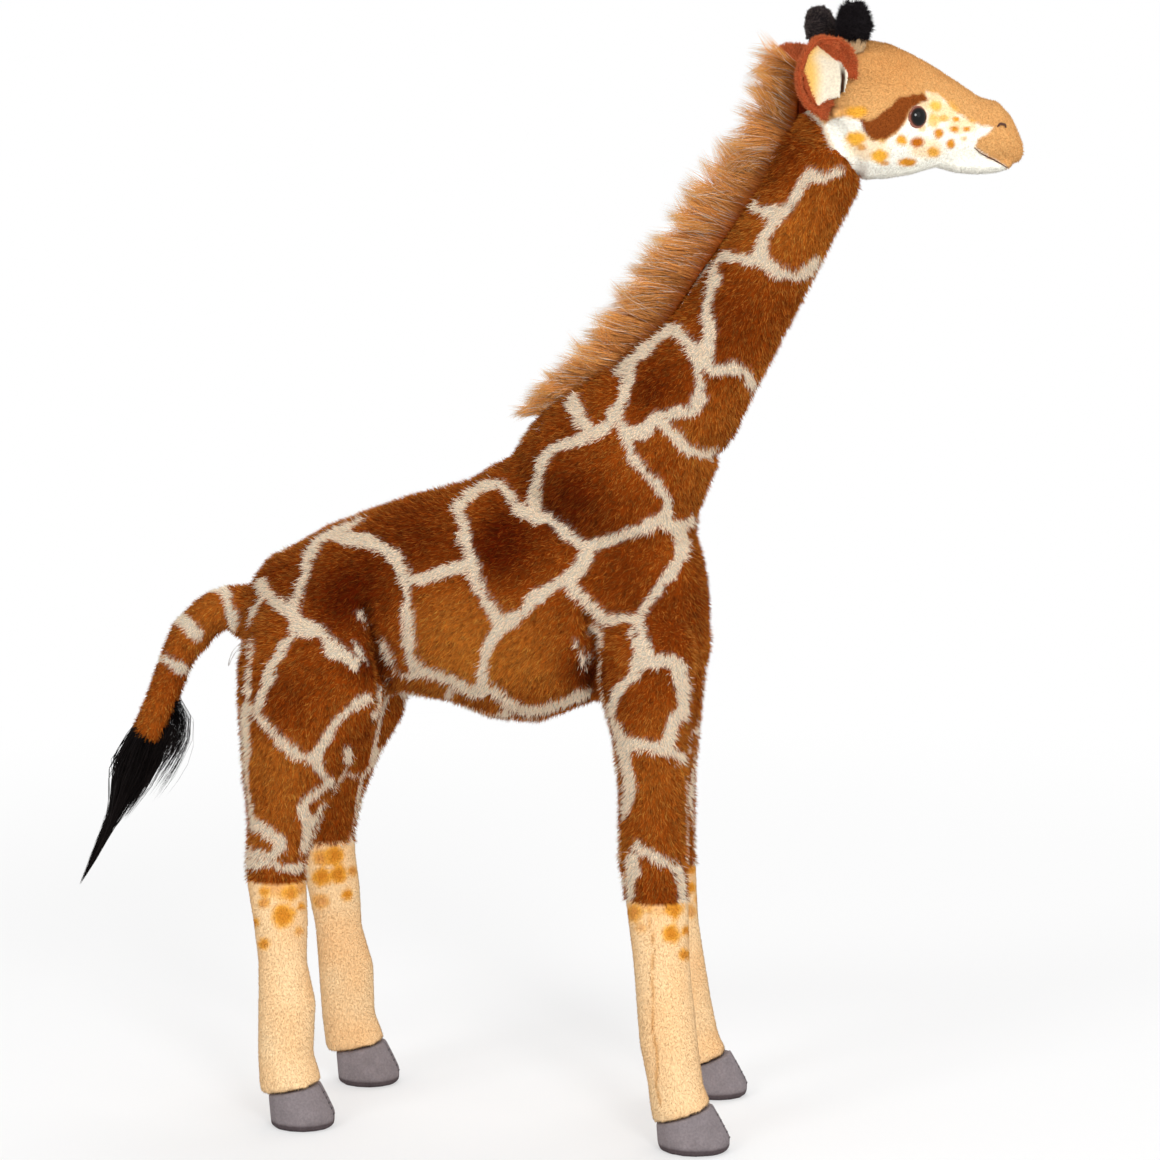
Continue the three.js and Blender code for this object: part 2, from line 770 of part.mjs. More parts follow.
function torsoMeshes() {
  const group = new THREE.Group();
  const body = barrel()
    .add(neckTube(neck_shares[0][0], neck_lip_share, 0, body_sides))
    .add(ball(neck_pivot, neck_ball_radius, neck_ball_width, ball_sides))
    .add(ball(tail_root, tail_ball_radius));
  const bores = [foreleg, hindleg].map((leg) => crossbar(leg, rod_radius + bore_gap, crossbar_reach));
  const torso = [...bores, spineBore()].reduce((rest, bore) => rest.subtract(bore), body);
  const withers = maneStrip(mane_start_share, neck_lip_share)
    .subtract(barrel(sewn_gap))
    .subtract(neckTube(neck_shares[0][0], neck_base_share, sewn_gap, body_sides));
  group.add(piece("torso", torso, brown_plush));
  group.add(piece("shoulder_crossbar", crossbar(foreleg, rod_radius, crossbar_reach), steel_wire));
  group.add(piece("hip_crossbar", crossbar(hindleg, rod_radius, crossbar_reach), steel_wire));
  group.add(piece("spine_rod", spine(rod_radius), steel_wire));
  group.add(piece("mane_withers", withers, mane_plush));
  return group;
}

// Lower neck: sits over the body's ball and ends at the plane in which the upper neck turns
function neckMeshes() {
  const above = beyond(turn_point, turn_axis);
  const past = turn_point.clone().addScaledVector(turn_axis, rod_radius);
  const path = [neck_pivot, neckPoint(neck_bow_share), turn_point, past];
  const steps = 2 * path.length;
  const lower = neckTube(neck_skirt_share, neck_turn_share + slope_share)
    .subtract(above)
    .subtract(ball(neck_pivot, neck_ball_radius + swing_gap, neck_ball_width + swing_gap, ball_sides))
    .subtract(bentWire(path, rod_radius + bore_gap, steps));
  const wire = bentWire(path, rod_radius, steps)
    .subtract(above)
    .subtract(ball(neck_pivot, neck_ball_radius + swing_gap + bore_gap));
  const mane = maneStrip(neck_base_share, neck_turn_share + 2 * slope_share)
    .subtract(above)
    .subtract(neckTube(neck_lip_share, neck_turn_share + 3 * slope_share, sewn_gap))
    .subtract(turnedAbout(neckTube(0, neck_lip_share, swing_gap), neck_pivot, side, neck_bend));
  const group = new THREE.Group();
  group.add(piece("neck_lower", lower, brown_plush));
  group.add(piece("neck_wire", wire, steel_wire));
  group.add(piece("mane_neck", mane, mane_plush));
  return group;
}

// Upper neck: ends in a cup under the head's ball
function upperNeckMeshes() {
  const below = beyond(turn_point.clone().addScaledVector(turn_axis, sewn_gap), turn_axis.clone().negate());
  const way = head_pivot.clone().sub(turn_point).normalize();
  const top = head_pivot.clone().addScaledVector(way, -head_ball_radius - swing_gap - bore_gap);
  const room = headRoom();
  const upper = neckTube(neck_turn_share - slope_share, 1)
    .subtract(below)
    .subtract(room)
    .subtract(rod(turn_point, head_pivot, rod_radius + bore_gap));
  const mane = maneStrip(neck_turn_share - 2 * slope_share, mane_end_share)
    .subtract(below)
    .subtract(neckTube(neck_turn_share - 3 * slope_share, 1, sewn_gap))
    .subtract(room);
  const group = new THREE.Group();
  group.add(piece("neck_upper", upper, brown_plush));
  group.add(piece("neck_upper_wire", rod(turn_point, top, rod_radius).subtract(below), steel_wire));
  group.add(piece("mane_crest", mane, mane_plush));
  return group;
}

// Head: drawn about its pivot, looking along +X. Columns are along, middle height, half height, half width.
const head_shares = [
  [0, 0.364, 0.09, 0.12],
  [0.022, 0.352, 0.227, 0.265],
  [0.073, 0.318, 0.352, 0.397],
  [0.152, 0.284, 0.438, 0.471],
  [0.261, 0.236, 0.488, 0.5],
  [0.37, 0.226, 0.47, 0.471],
  [0.478, 0.203, 0.42, 0.404],
  [0.587, 0.182, 0.35, 0.324],
  [0.696, 0.145, 0.28, 0.272],
  [0.79, 0.09, 0.24, 0.25],
  [0.877, 0.075, 0.222, 0.257],
  [0.935, 0.03, 0.168, 0.213],
  [0.978, -0.03, 0.1, 0.132],
  [1, -0.05, 0.035, 0.044],
];
const head_origin = new THREE.Vector3();

function headLoft(grow = 0) {
  const last = head_shares.length - 1;
  const rings = head_shares.map(([along, rise, high, wide], i) => {
    const end = i === 0 ? -grow : i === last ? grow : 0;
    const at = new THREE.Vector3(along * head_length - head_back_reach + end, 0, rise * head_height);
    return { at, deep: high * head_height + grow, wide: wide * head_width + grow };
  });
  return stuffed(rings, body_sides, front);
}

function headBall(grow = 0) {
  return ball(head_origin, head_ball_radius + grow, undefined, ball_sides);
}

function headPlace() {
  const turn = new THREE.Matrix4().makeRotationZ(radians(head_rest_turn));
  return new THREE.Matrix4().makeTranslation(head_pivot.x, head_pivot.y, head_pivot.z).multiply(turn);
}

// The room that the nodding head needs, placed on the neck
function headRoom() {
  const start = new THREE.Vector3(-head_back_reach, 0, 0);
  const size = new THREE.Vector3(head_length, head_width, head_height);
  const reach = Math.max(...head_shares.map(([, rise, high]) => rise + high)) * head_height;
  const rings = tippingRings(head_shares, start, size, head_origin, head_nod, reach);
  return moved(stuffed(rings, body_sides, front).add(headBall(swing_gap)), headPlace());
}

// Head wire: an upright run through the ball and a forward run into the muzzle. Columns are forward, as a
// share of the head's length, and rise, as a share of the ball's radius.
const head_wire_shares = [
  [0, 0.33],
  [0.33, 0.5],
  [0.67, 0.33],
];

function headWire(radius) {
  const foot = new THREE.Vector3(0, 0, -head_ball_radius + bore_gap);
  const run = head_wire_shares.map(([x, z]) => new THREE.Vector3(x * head_length, 0, z * head_ball_radius));
  return bentWire([foot, ...run], radius, 2 * run.length + 2);
}

// Lower lip: columns are along, height of the middle, half height, half width.
const lip_forward_share = 0.6;
const lip_shares = [
  [0, -0.125, 0.3, 0.25],
  [0.25, -0.14, 0.46, 0.42],
  [0.55, -0.145, 0.5, 0.5],
  [0.8, -0.145, 0.42, 0.46],
  [1, -0.14, 0.22, 0.3],
];

function lowerLip() {
  const start = lip_forward_share * head_length - head_back_reach;
  const rings = lip_shares.map(([along, rise, high, wide]) => ({
    at: new THREE.Vector3(start + along * lip_length, 0, rise * head_height),
    deep: high * lip_height,
    wide: wide * lip_width,
  }));
  return stuffed(rings, limb_sides, front).subtract(headLoft(sewn_gap));
}

function lathe(outline) {
  return new THREE.LatheGeometry(outline.map(([r, y]) => new THREE.Vector2(r, y)), small_sides);
}

// Eye: a domed plastic eye on a shank, and the washer that clamps it from inside the head
function eyePlaced(geometry, hand) {
  geometry.rotateZ(hand > 0 ? 0 : Math.PI);
  geometry.rotateZ(-hand * radians(eye_turn));
  geometry.translate(eye_forward, hand * eye_out, eye_rise);
  return solid(geometry);
}

function eyeShape(hand, grow = 0) {
  const shank = shank_radius + grow;
  const rim = eye_radius + grow;
  const foot = -shank_length - grow;
  const outline = [[0, foot], [shank, foot], [shank, -grow], [rim, -grow]];
  const arc_steps = 3;
  for (let k = 0; k < arc_steps; k += 1) {
    const angle = (Math.PI / 2) * (k / arc_steps);
    outline.push([rim * Math.cos(angle), eye_edge + (eye_depth + grow) * Math.sin(angle)]);
  }
  outline.push([0, eye_edge + eye_depth + grow]);
  return eyePlaced(lathe(outline), hand);
}

function washerShape(hand, grow = 0) {
  const inner = shank_radius + sewn_gap - grow;
  const outer = washer_radius + grow;
  const low = -shank_length / 2 - washer_thickness - grow;
  const high = -shank_length / 2 + grow;
  return eyePlaced(lathe([[inner, low], [outer, low], [outer, high], [inner, high], [inner, low]]), hand);
}

// Ear: a cupped leaf. Its own frame has X across, Y out of the cup's mouth and Z towards the tip.
const ear_outline_shares = [
  [0, 0.4],
  [0.12, 0.6],
  [0.3, 0.88],
  [0.5, 1],
  [0.7, 0.92],
  [0.88, 0.62],
  [1, 0.14],
];
const lining_start_share = 0.18;
const leaf_columns = 8;

// A layer of the leaf, drawn in from its edge by an inset
function leaf(inset, thickness, lift, from) {
  const rows = rowsBetween(ear_outline_shares, from, 1 - inset / ear_length);
  const points = [];
  [0, thickness].forEach((depth) => {
    rows.forEach(([along, half_share]) => {
      const half = (half_share * ear_width) / 2;
      for (let k = 0; k <= leaf_columns; k += 1) {
        const x = ((2 * k) / leaf_columns - 1) * (half - inset);
        const curl = ear_cup * half_share * ((x / half) ** 2 - 1);
        points.push(x, lift + depth + curl, along * ear_length);
      }
    });
  });
  const row = leaf_columns + 1;
  const layer = rows.length * row;
  const faces = [];
  const quad = (a, b, c, d) => faces.push(a, b, c, a, c, d);
  for (let i = 0; i < rows.length - 1; i += 1) {
    for (let k = 0; k < leaf_columns; k += 1) {
      const a = i * row + k;
      quad(a, a + 1, a + 1 + row, a + row);
      quad(layer + a, layer + a + row, layer + a + 1 + row, layer + a + 1);
    }
    const left = i * row;
    const right = i * row + leaf_columns;
    quad(left, left + row, layer + left + row, layer + left);
    quad(right, layer + right, layer + right + row, right + row);
  }
  const end = (rows.length - 1) * row;
  for (let k = 0; k < leaf_columns; k += 1) {
    quad(k, layer + k, layer + k + 1, k + 1);
    quad(end + k, end + k + 1, layer + end + k + 1, layer + end + k);
  }
  const geometry = new THREE.BufferGeometry();
  geometry.setAttribute("position", new THREE.Float32BufferAttribute(points, 3));
  geometry.setIndex(faces);
  return solid(geometry);
}

// The ear's root lies where the head's side rises to a seat angle
const ear_seat_angle = -16;
const ear_way = new THREE.Vector3(-0.31, 0.56, 0.78).normalize();
const ear_mouth = new THREE.Vector3(0.423, 0.8, -0.423).projectOnPlane(ear_way).normalize();
const ear_across = new THREE.Vector3().crossVectors(ear_mouth, ear_way).normalize();

function earRoot() {
  const row = rowAt(head_shares, (ear_forward + head_back_reach) / head_length);
  const [, rise, high, wide] = row;
  const angle = radians(ear_seat_angle);
  const y = wide * head_width * Math.cos(angle);
  const z = rise * head_height + high * head_height * Math.sin(angle);
  return new THREE.Vector3(ear_forward, y + ear_root_out, z);
}

const mirror = new THREE.Matrix4().makeScale(1, -1, 1);

function handed(shape, hand) {
  return hand > 0 ? shape : moved(shape, mirror);
}

function earMeshes(name, hand) {
  const place = new THREE.Matrix4().makeBasis(ear_across, ear_mouth, ear_way).setPosition(earRoot());
  const back = moved(leaf(0, ear_thickness, -ear_thickness / 2, 0), place)
    .subtract(ball(earRoot(), ear_root_radius + swing_gap, undefined, small_sides))
    .subtract(swept(headLoft(swing_gap), earRoot(), ear_across, [-ear_flap, 0, ear_flap]));
  const lining_lift = ear_thickness / 2 + sewn_gap;
  const lining = moved(leaf(ear_rim, lining_thickness, lining_lift, lining_start_share), place);
  const group = new THREE.Group();
  group.add(piece(`ear_${name}`, handed(back, hand), ear_plush));
  group.add(piece(`ear_lining_${name}`, handed(lining, hand), white_plush));
  return group;
}

// Horns: a stuffed stem with a round tuft of black pile on it
function hornPlaced(geometry, hand) {
  geometry.rotateX(Math.PI / 2);
  geometry.rotateX(-hand * radians(horn_splay));
  geometry.rotateY(radians(hand > 0 ? horn_lean_left : horn_lean_right));
  geometry.translate(hand > 0 ? horn_left_forward : horn_right_forward, hand * horn_out, horn_rise);
  return solid(geometry);
}

function hornStem(hand, grow = 0) {
  const r = horn_radius + grow;
  const top = horn_height / 2 + grow;
  const flat = r - horn_edge;
  const outline = [[0, -horn_root], [r, -horn_root], [r, top - horn_edge], [flat, top], [0, top]];
  return hornPlaced(lathe(outline), hand);
}

function hornTuft(hand) {
  const outline_shares = [
    [0, 0],
    [0.8, 0],
    [1, 0.28],
    [0.94, 0.55],
    [0.74, 0.84],
    [0.4, 1],
    [0, 1],
  ];
  return hornPlaced(lathe(outline_shares.map(([r, z]) => [r * tuft_radius, z * tuft_height])), hand);
}

function headMeshes() {
  const group = new THREE.Group();
  group.position.copy(head_pivot);
  group.rotation.z = radians(head_rest_turn);
  const ears = ball(earRoot(), ear_root_radius, undefined, small_sides);
  const mouth = new THREE.Vector3(0, 0, -head_ball_radius - bore_gap);
  let head = headLoft()
    .add(headBall())
    .add(ears)
    .add(moved(ears, mirror))
    .subtract(headWire(wire_radius + bore_gap))
    .subtract(rod(mouth, head_origin, wire_radius + bore_gap));
  [["left", 1], ["right", -1]].forEach(([name, hand]) => {
    head = head.subtract(eyeShape(hand, sewn_gap)).subtract(washerShape(hand, sewn_gap));
    const skin = headLoft(sewn_gap);
    const tuft = hornTuft(hand).subtract(hornStem(hand, sewn_gap)).subtract(skin);
    group.add(piece(`eye_${name}`, eyeShape(hand), eye_plastic));
    group.add(piece(`eye_washer_${name}`, washerShape(hand), washer_plastic));
    group.add(piece(`horn_${name}`, hornStem(hand).subtract(skin), tan_plush));
    group.add(piece(`horn_tuft_${name}`, tuft, black_hair));
    group.add(earMeshes(name, hand));
  });
  group.add(piece("head", head, tan_plush));
  group.add(piece("head_wire", headWire(wire_radius), steel_wire));
  group.add(piece("lower_lip", lowerLip(), white_plush));
  return group;
}

// Seam ribbon: it stands out from the seam under the tail
function ribbonMesh() {
  const geometry = new THREE.BoxGeometry(ribbon_length * 2, ribbon_width, ribbon_thickness);
  geometry.translate(rump_x, 0, tail_root.z - ribbon_drop);
  return piece("seam_ribbon", solid(geometry).subtract(barrel(sewn_gap)), white_ribbon);
}

const standing = new THREE.Group();
standing.add(torsoMeshes(), neckMeshes(), upperNeckMeshes(), headMeshes(), tailMeshes(), ribbonMesh());
legs.forEach((leg) => standing.add(legMeshes(leg)));

// Centre the toy over the origin, between its nose and the tip of its tail
const box = new THREE.Box3().setFromObject(standing);
standing.position.x = -(box.min.x + box.max.x) / 2;
const giraffe = new THREE.Group();
giraffe.add(standing);

export default giraffe;
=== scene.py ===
import math
import bmesh
import bpy
import numpy as np
from mathutils import Matrix, Vector
from mathutils.bvhtree import BVHTree


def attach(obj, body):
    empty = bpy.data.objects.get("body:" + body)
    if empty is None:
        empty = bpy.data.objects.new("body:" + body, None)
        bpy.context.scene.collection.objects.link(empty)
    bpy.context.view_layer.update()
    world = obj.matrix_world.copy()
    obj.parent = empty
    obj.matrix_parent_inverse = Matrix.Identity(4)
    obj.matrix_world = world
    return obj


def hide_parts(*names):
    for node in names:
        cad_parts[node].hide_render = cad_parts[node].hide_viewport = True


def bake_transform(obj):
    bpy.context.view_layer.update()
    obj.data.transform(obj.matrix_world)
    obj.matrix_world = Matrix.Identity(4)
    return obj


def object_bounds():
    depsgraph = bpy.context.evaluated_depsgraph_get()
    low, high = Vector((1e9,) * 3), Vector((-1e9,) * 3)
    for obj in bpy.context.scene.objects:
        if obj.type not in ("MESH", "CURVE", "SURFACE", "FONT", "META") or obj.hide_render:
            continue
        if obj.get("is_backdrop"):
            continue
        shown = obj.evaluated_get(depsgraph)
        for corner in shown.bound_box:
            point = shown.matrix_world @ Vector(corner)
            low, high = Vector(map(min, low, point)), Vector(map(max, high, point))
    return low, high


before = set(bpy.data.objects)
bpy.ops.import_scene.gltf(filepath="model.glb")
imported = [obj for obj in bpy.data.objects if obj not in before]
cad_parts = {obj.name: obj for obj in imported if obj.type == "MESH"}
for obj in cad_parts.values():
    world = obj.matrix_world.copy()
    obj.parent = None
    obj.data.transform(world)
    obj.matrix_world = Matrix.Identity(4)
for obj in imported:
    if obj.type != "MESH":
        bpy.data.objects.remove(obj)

cad_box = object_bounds()

# Studio: the photograph's camera, which looks at the toy's right side, ten degrees round towards its nose and
# seven degrees down, over a pale floor that fades to white, under wide soft lamps.
VIEW_TURN, VIEW_DROP = math.radians(10), math.radians(7)
VIEW_DISTANCE, SIGHT = 2.1, 50
AIM = Vector((0.028185, 0, 0.346))
PICTURE, LENS_PIXELS, SENSOR = 1160, 3333, 36
TO_CAMERA = Vector((
    math.sin(VIEW_TURN) * math.cos(VIEW_DROP),
    -math.cos(VIEW_TURN) * math.cos(VIEW_DROP),
    math.sin(VIEW_DROP),
))
# Lamps: place, watts and width
LAMPS = {
    "key_lamp": ((-1.3, -2.0, 2.1), 17, 0.9),
    "front_lamp": ((1.0, -2.1, 1.2), 24, 0.7),
    "fill_lamp": ((1.9, -1.7, 1.3), 6, 1.6),
    "top_lamp": ((0.1, 1.1, 2.4), 16, 1.4),
}
SKY_LIGHT, SKY_SEEN = 0.66, 1.0
FLOOR_REACH, FLOOR_CLEAR, FLOOR_FADE = 7.0, 0.35, 1.6
FLOOR_GREY, FLOOR_ROUGHNESS, FLOOR_WHITE_NEAR = 0.86, 0.9, 0.45


def put(name, data):
    """A new object in the scene."""
    made = bpy.data.objects.new(name, data)
    bpy.context.scene.collection.objects.link(made)
    return made


lens = bpy.data.cameras.new("photo_lens")
lens.sensor_width, lens.lens = SENSOR, LENS_PIXELS * SENSOR / PICTURE
lens.clip_end = SIGHT
camera = put("photo_camera", lens)
camera.location = AIM + TO_CAMERA * VIEW_DISTANCE
camera.rotation_euler = TO_CAMERA.to_track_quat("Z", "Y").to_euler()
bpy.context.scene.camera = camera
bpy.context.scene.view_settings.view_transform = "Standard"

for name, (place, watts, width) in LAMPS.items():
    light = bpy.data.lights.new(name, "AREA")
    light.shape, light.size, light.energy = "DISK", width, watts
    lamp = put(name, light)
    lamp.location = place
    lamp.rotation_euler = (Vector(place) - AIM).to_track_quat("Z", "Y").to_euler()


def wire_up(tree, source, target):
    tree.links.new(source, target)


def worked_out(tree, operation, first, second):
    """A sum of two values, worked out by a node."""
    made = tree.nodes.new("ShaderNodeMath")
    made.operation = operation
    wire_up(tree, first, made.inputs[0])
    wire_up(tree, second, made.inputs[1])
    return made.outputs[0]


def ranged(tree, value, own_ends, given_ends):
    """A value moved from its own two ends to the given ones."""
    made = tree.nodes.new("ShaderNodeMapRange")
    made.inputs["From Min"].default_value, made.inputs["From Max"].default_value = own_ends
    made.inputs["To Min"].default_value, made.inputs["To Max"].default_value = given_ends
    wire_up(tree, value, made.inputs["Value"])
    return made


def looked_at(tree):
    """1 where the camera, a reflection or glass looks straight at a thing, and 0 for the light it gives."""
    path = tree.nodes.new("ShaderNodeLightPath")
    direct = worked_out(tree, "MAXIMUM", path.outputs["Is Camera Ray"], path.outputs["Is Glossy Ray"])
    return worked_out(tree, "MAXIMUM", direct, path.outputs["Is Transmission Ray"])


world = bpy.data.worlds.new("studio_white")
bpy.context.scene.world = world
world.use_nodes = True
sky = world.node_tree
glow = sky.nodes["Background"]
glow.inputs["Color"].default_value = (1, 1, 1, 1)
level = ranged(sky, looked_at(sky), (0, 1), (SKY_LIGHT, SKY_SEEN))
wire_up(sky, level.outputs["Result"], glow.inputs["Strength"])

board = bmesh.new()
bmesh.ops.create_grid(board, x_segments=8, y_segments=8, size=FLOOR_REACH)
floor_mesh = bpy.data.meshes.new("studio_floor")
board.to_mesh(floor_mesh)
board.free()
floor = put("studio_floor", floor_mesh)
floor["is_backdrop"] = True
floor_paint = bpy.data.materials.new("studio_floor")
floor_paint.use_nodes = True
tree = floor_paint.node_tree
matt = tree.nodes["Principled BSDF"]
matt.inputs["Base Color"].default_value = (FLOOR_GREY, FLOOR_GREY, FLOOR_GREY, 1)
matt.inputs["Roughness"].default_value = FLOOR_ROUGHNESS
lit_white = tree.nodes.new("ShaderNodeEmission")
lit_white.inputs["Strength"].default_value = 1.0
here = tree.nodes.new("ShaderNodeNewGeometry")
far = tree.nodes.new("ShaderNodeVectorMath")
far.operation = "LENGTH"
wire_up(tree, here.outputs["Position"], far.inputs[0])
fade = ranged(tree, far.outputs["Value"], (FLOOR_CLEAR, FLOOR_FADE), (FLOOR_WHITE_NEAR, 1.0))
fade.interpolation_type = "SMOOTHSTEP"
both = tree.nodes.new("ShaderNodeMixShader")
wire_up(tree, worked_out(tree, "MULTIPLY", fade.outputs["Result"], looked_at(tree)), both.inputs["Fac"])
wire_up(tree, matt.outputs[0], both.inputs[1])
wire_up(tree, lit_white.outputs[0], both.inputs[2])
wire_up(tree, both.outputs[0], tree.nodes["Material Output"].inputs["Surface"])
floor_mesh.materials.append(floor_paint)

# Wire frame: drawn steel wire and rod, bent cold, with eyelets that turn on the two crossbars.
# It lies in bores of the stuffing, from the hooves to the muzzle and the tail.
GRAIN_ENDS = (0.3, 0.7)


def linear(*colour):
    """A colour given as it looks on screen, 0 to 255, as the shader takes it."""
    c = np.asarray(colour, float) / 255
    return np.where(c <= 0.04045, c / 12.92, ((c + 0.055) / 1.055) ** 2.4)


def finish_of(name, roughness, metallic=0.0):
    """A new finish, with its node tree and its shader."""
    made = bpy.data.materials.new(name)
    made.use_nodes = True
    shader = made.node_tree.nodes["Principled BSDF"]
    shader.inputs["Roughness"].default_value = roughness
    shader.inputs["Metallic"].default_value = metallic
    return made, made.node_tree, shader


def fine_noise(tree, scale, detail=2, stretch=(1, 1, 1)):
    """Noise that keeps its place on the piece, drawn out by a stretch."""
    place = tree.nodes.new("ShaderNodeTexCoord")
    scaled = tree.nodes.new("ShaderNodeMapping")
    scaled.inputs["Scale"].default_value = stretch
    wire_up(tree, place.outputs["Object"], scaled.inputs["Vector"])
    noise = tree.nodes.new("ShaderNodeTexNoise")
    noise.inputs["Scale"].default_value = scale
    noise.inputs["Detail"].default_value = detail
    wire_up(tree, scaled.outputs["Vector"], noise.inputs["Vector"])
    return noise


def embossed(tree, shader, height, depth, strength):
    """Raises a shader's surface by a value from 0 to 1, to a depth in metres."""
    bump = tree.nodes.new("ShaderNodeBump")
    bump.inputs["Distance"].default_value = depth
    bump.inputs["Strength"].default_value = strength
    wire_up(tree, height, bump.inputs["Height"])
    wire_up(tree, bump.outputs["Normal"], shader.inputs["Normal"])


def grained(
    name, roughness, colour, spread, scale, metallic=0.0, stretch=(1, 1, 1), depth=0.0002, strength=0.4,
):
    """A finish of one colour with fine variation, and the same grain in its surface."""
    made, tree, shader = finish_of(name, roughness, metallic)
    grain = fine_noise(tree, scale, 3, stretch)
    ramp = tree.nodes.new("ShaderNodeValToRGB")
    for stop, at, share in zip(ramp.color_ramp.elements, GRAIN_ENDS, (1 - spread, 1 + spread)):
        stop.position = at
        stop.color = (*np.minimum(linear(*colour) * share, 1), 1)
    wire_up(tree, grain.outputs["Fac"], ramp.inputs["Fac"])
    wire_up(tree, ramp.outputs["Color"], shader.inputs["Base Color"])
    embossed(tree, shader, grain.outputs["Fac"], depth, strength)
    return made


def carried_over(finish, *nodes):
    """Gives a finish to solids that stay as the frame has them."""
    for node in nodes:
        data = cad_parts[node].data
        data.materials.clear()
        data.materials.append(finish)


LEGS = ("foreleg_left", "foreleg_right", "hindleg_left", "hindleg_right")
drawn_steel = grained(
    "drawn_steel", 0.35, (150, 152, 155), 0.12, 900,
    metallic=1.0, stretch=(1, 1, 0.1), depth=0.00005, strength=0.2,
)
carried_over(
    drawn_steel,
    "shoulder_crossbar", "hip_crossbar", "spine_rod", "neck_wire", "neck_upper_wire", "head_wire",
    "tail_upper_wire", "tail_lower_wire", *(f"{leg}_wire" for leg in LEGS),
)

# Stuffed skin: pile fabric, sewn inside out, turned and stuffed. One skin runs from the hooves' cuffs over
# the body to the neck and the tail, and it stretches wherever the wire inside bends.
NECK_PIVOT = np.array((0.08882, 0, 0.46107))
NECK_UP = np.array((0.54024, 0, 0.84151))
NECK_FRONT = np.array((0.84151, 0, -0.54024))
HEAD_PIVOT = np.array((0.18363, 0, 0.61827))
TAIL_ROOT = np.array((-0.18597, 0, 0.3208))
TAIL_PIVOT = np.array((-0.22609, 0, 0.30584))
TAIL_WAY = np.array((-0.643, 0, -0.766))
WITHERS = np.array((-0.018, 0, 0.402))
SHOULDER_X, SHOULDER_Z, SHOULDER_OUT = 0.07478, 0.304, 0.034
HIP_X, HIP_Z, HIP_OUT = -0.13622, 0.292, 0.033
FORE_SEAM, HIND_SEAM, LEFT_HIND_RISE = 0.156, 0.158, 0.006
SKIN_VOXEL, SKIN_SMOOTHING = 0.0025, 6
# How deep the skin lies under the solids' surface, to leave room for its pile
PILE_ROOM, SHORT_ROOM, TAIL_ROOM = 0.0022, 0.0007, -0.0008
SEAM_SOFT, TAIL_AHEAD, TAIL_BEHIND, TAIL_ABOVE = 0.004, 0.004, 0.008, 0.2
COAT_NODES = [
    "torso", "neck_lower", "neck_upper", "tail_upper", "tail_lower",
    "spine_rod", "neck_wire", "neck_upper_wire", "shoulder_crossbar", "hip_crossbar",
    "tail_upper_wire", "tail_lower_wire",
    *(f"{leg}_{part}" for leg in LEGS for part in ("thigh", "shank", "wire")),
]
# Stuffing that rounds the skin out over each bend: its middle and its half sizes
STUFFING = [
    *(((SHOULDER_X, side * SHOULDER_OUT, SHOULDER_Z), (0.033, 0.026, 0.033)) for side in (-1, 1)),
    *(((HIP_X, side * HIP_OUT, HIP_Z), (0.047, 0.029, 0.047)) for side in (-1, 1)),
    (NECK_PIVOT, (0.0435, 0.038, 0.0435)),
    (HEAD_PIVOT, (0.025, 0.024, 0.025)),
    (HEAD_PIVOT - 0.0155 * NECK_UP, (0.028, 0.027, 0.028)),
    (TAIL_ROOT, (0.0175, 0.0165, 0.0165)),
    (TAIL_PIVOT, (0.0120, 0.0120, 0.0120)),
    (WITHERS, (0.021, 0.026, 0.020)),
]


def largest_shell(count, faces):
    """Which vertices belong to the outer skin. Pockets inside it are separate shells."""
    shell = np.arange(count)
    edges = np.concatenate([faces[:, [k, (k + 1) % faces.shape[1]]] for k in range(faces.shape[1])])
    while True:
        low = np.minimum(shell[edges[:, 0]], shell[edges[:, 1]])
        was = shell.copy()
        np.minimum.at(shell, edges[:, 0], low)
        np.minimum.at(shell, edges[:, 1], low)
        shell = shell[shell]
        if (was == shell).all():
            return shell == np.bincount(shell).argmax()


def unit(v):
    return v / np.maximum(np.linalg.norm(v, axis=-1, keepdims=True), 1e-12)


def normals_of(points, faces):
    across = points[faces[:, 2]] - points[faces[:, 0]]
    over = points[faces[:, -1]] - points[faces[:, 1]]
    flat = np.cross(across, over)
    total = np.zeros_like(points)
    for k in range(faces.shape[1]):
        np.add.at(total, faces[:, k], flat)
    return unit(total)


def sewn(nodes, stuffing, voxel, smoothing):
    """The outer skin over CAD nodes and lumps of stuffing, each lump a centre and three half sizes."""
    form = bmesh.new()
    for node in nodes:
        form.from_mesh(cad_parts[node].data)
    for at, size in stuffing:
        place = Matrix.Translation(at) @ Matrix.Diagonal((*size, 1))
        bmesh.ops.create_uvsphere(form, u_segments=40, v_segments=24, radius=1, matrix=place)
    mesh = bpy.data.meshes.new("form")
    form.to_mesh(mesh)
    form.free()
    block = put("form", mesh)
    remesh = block.modifiers.new("fabric", "REMESH")
    remesh.mode, remesh.voxel_size = "VOXEL", voxel
    ease = block.modifiers.new("ease", "SMOOTH")
    ease.factor, ease.iterations = 0.5, smoothing
    bpy.context.view_layer.update()
    made = bpy.data.meshes.new_from_object(block.evaluated_get(bpy.context.evaluated_depsgraph_get()))
    points = np.empty(len(made.vertices) * 3, np.float32)
    made.vertices.foreach_get("co", points)
    faces = np.empty(len(made.loops), np.int32)
    made.loops.foreach_get("vertex_index", faces)
    points, faces = points.reshape(-1, 3).astype(float), faces.reshape(-1, 4)
    bpy.data.objects.remove(block)
    keep = largest_shell(len(points), faces)
    faces = (np.cumsum(keep) - 1)[faces[keep[faces[:, 0]]]]
    return points[keep], faces


def eased(low, high, x):
    t = np.clip((x - low) / (high - low), 0, 1)
    return t * t * (3 - 2 * t)


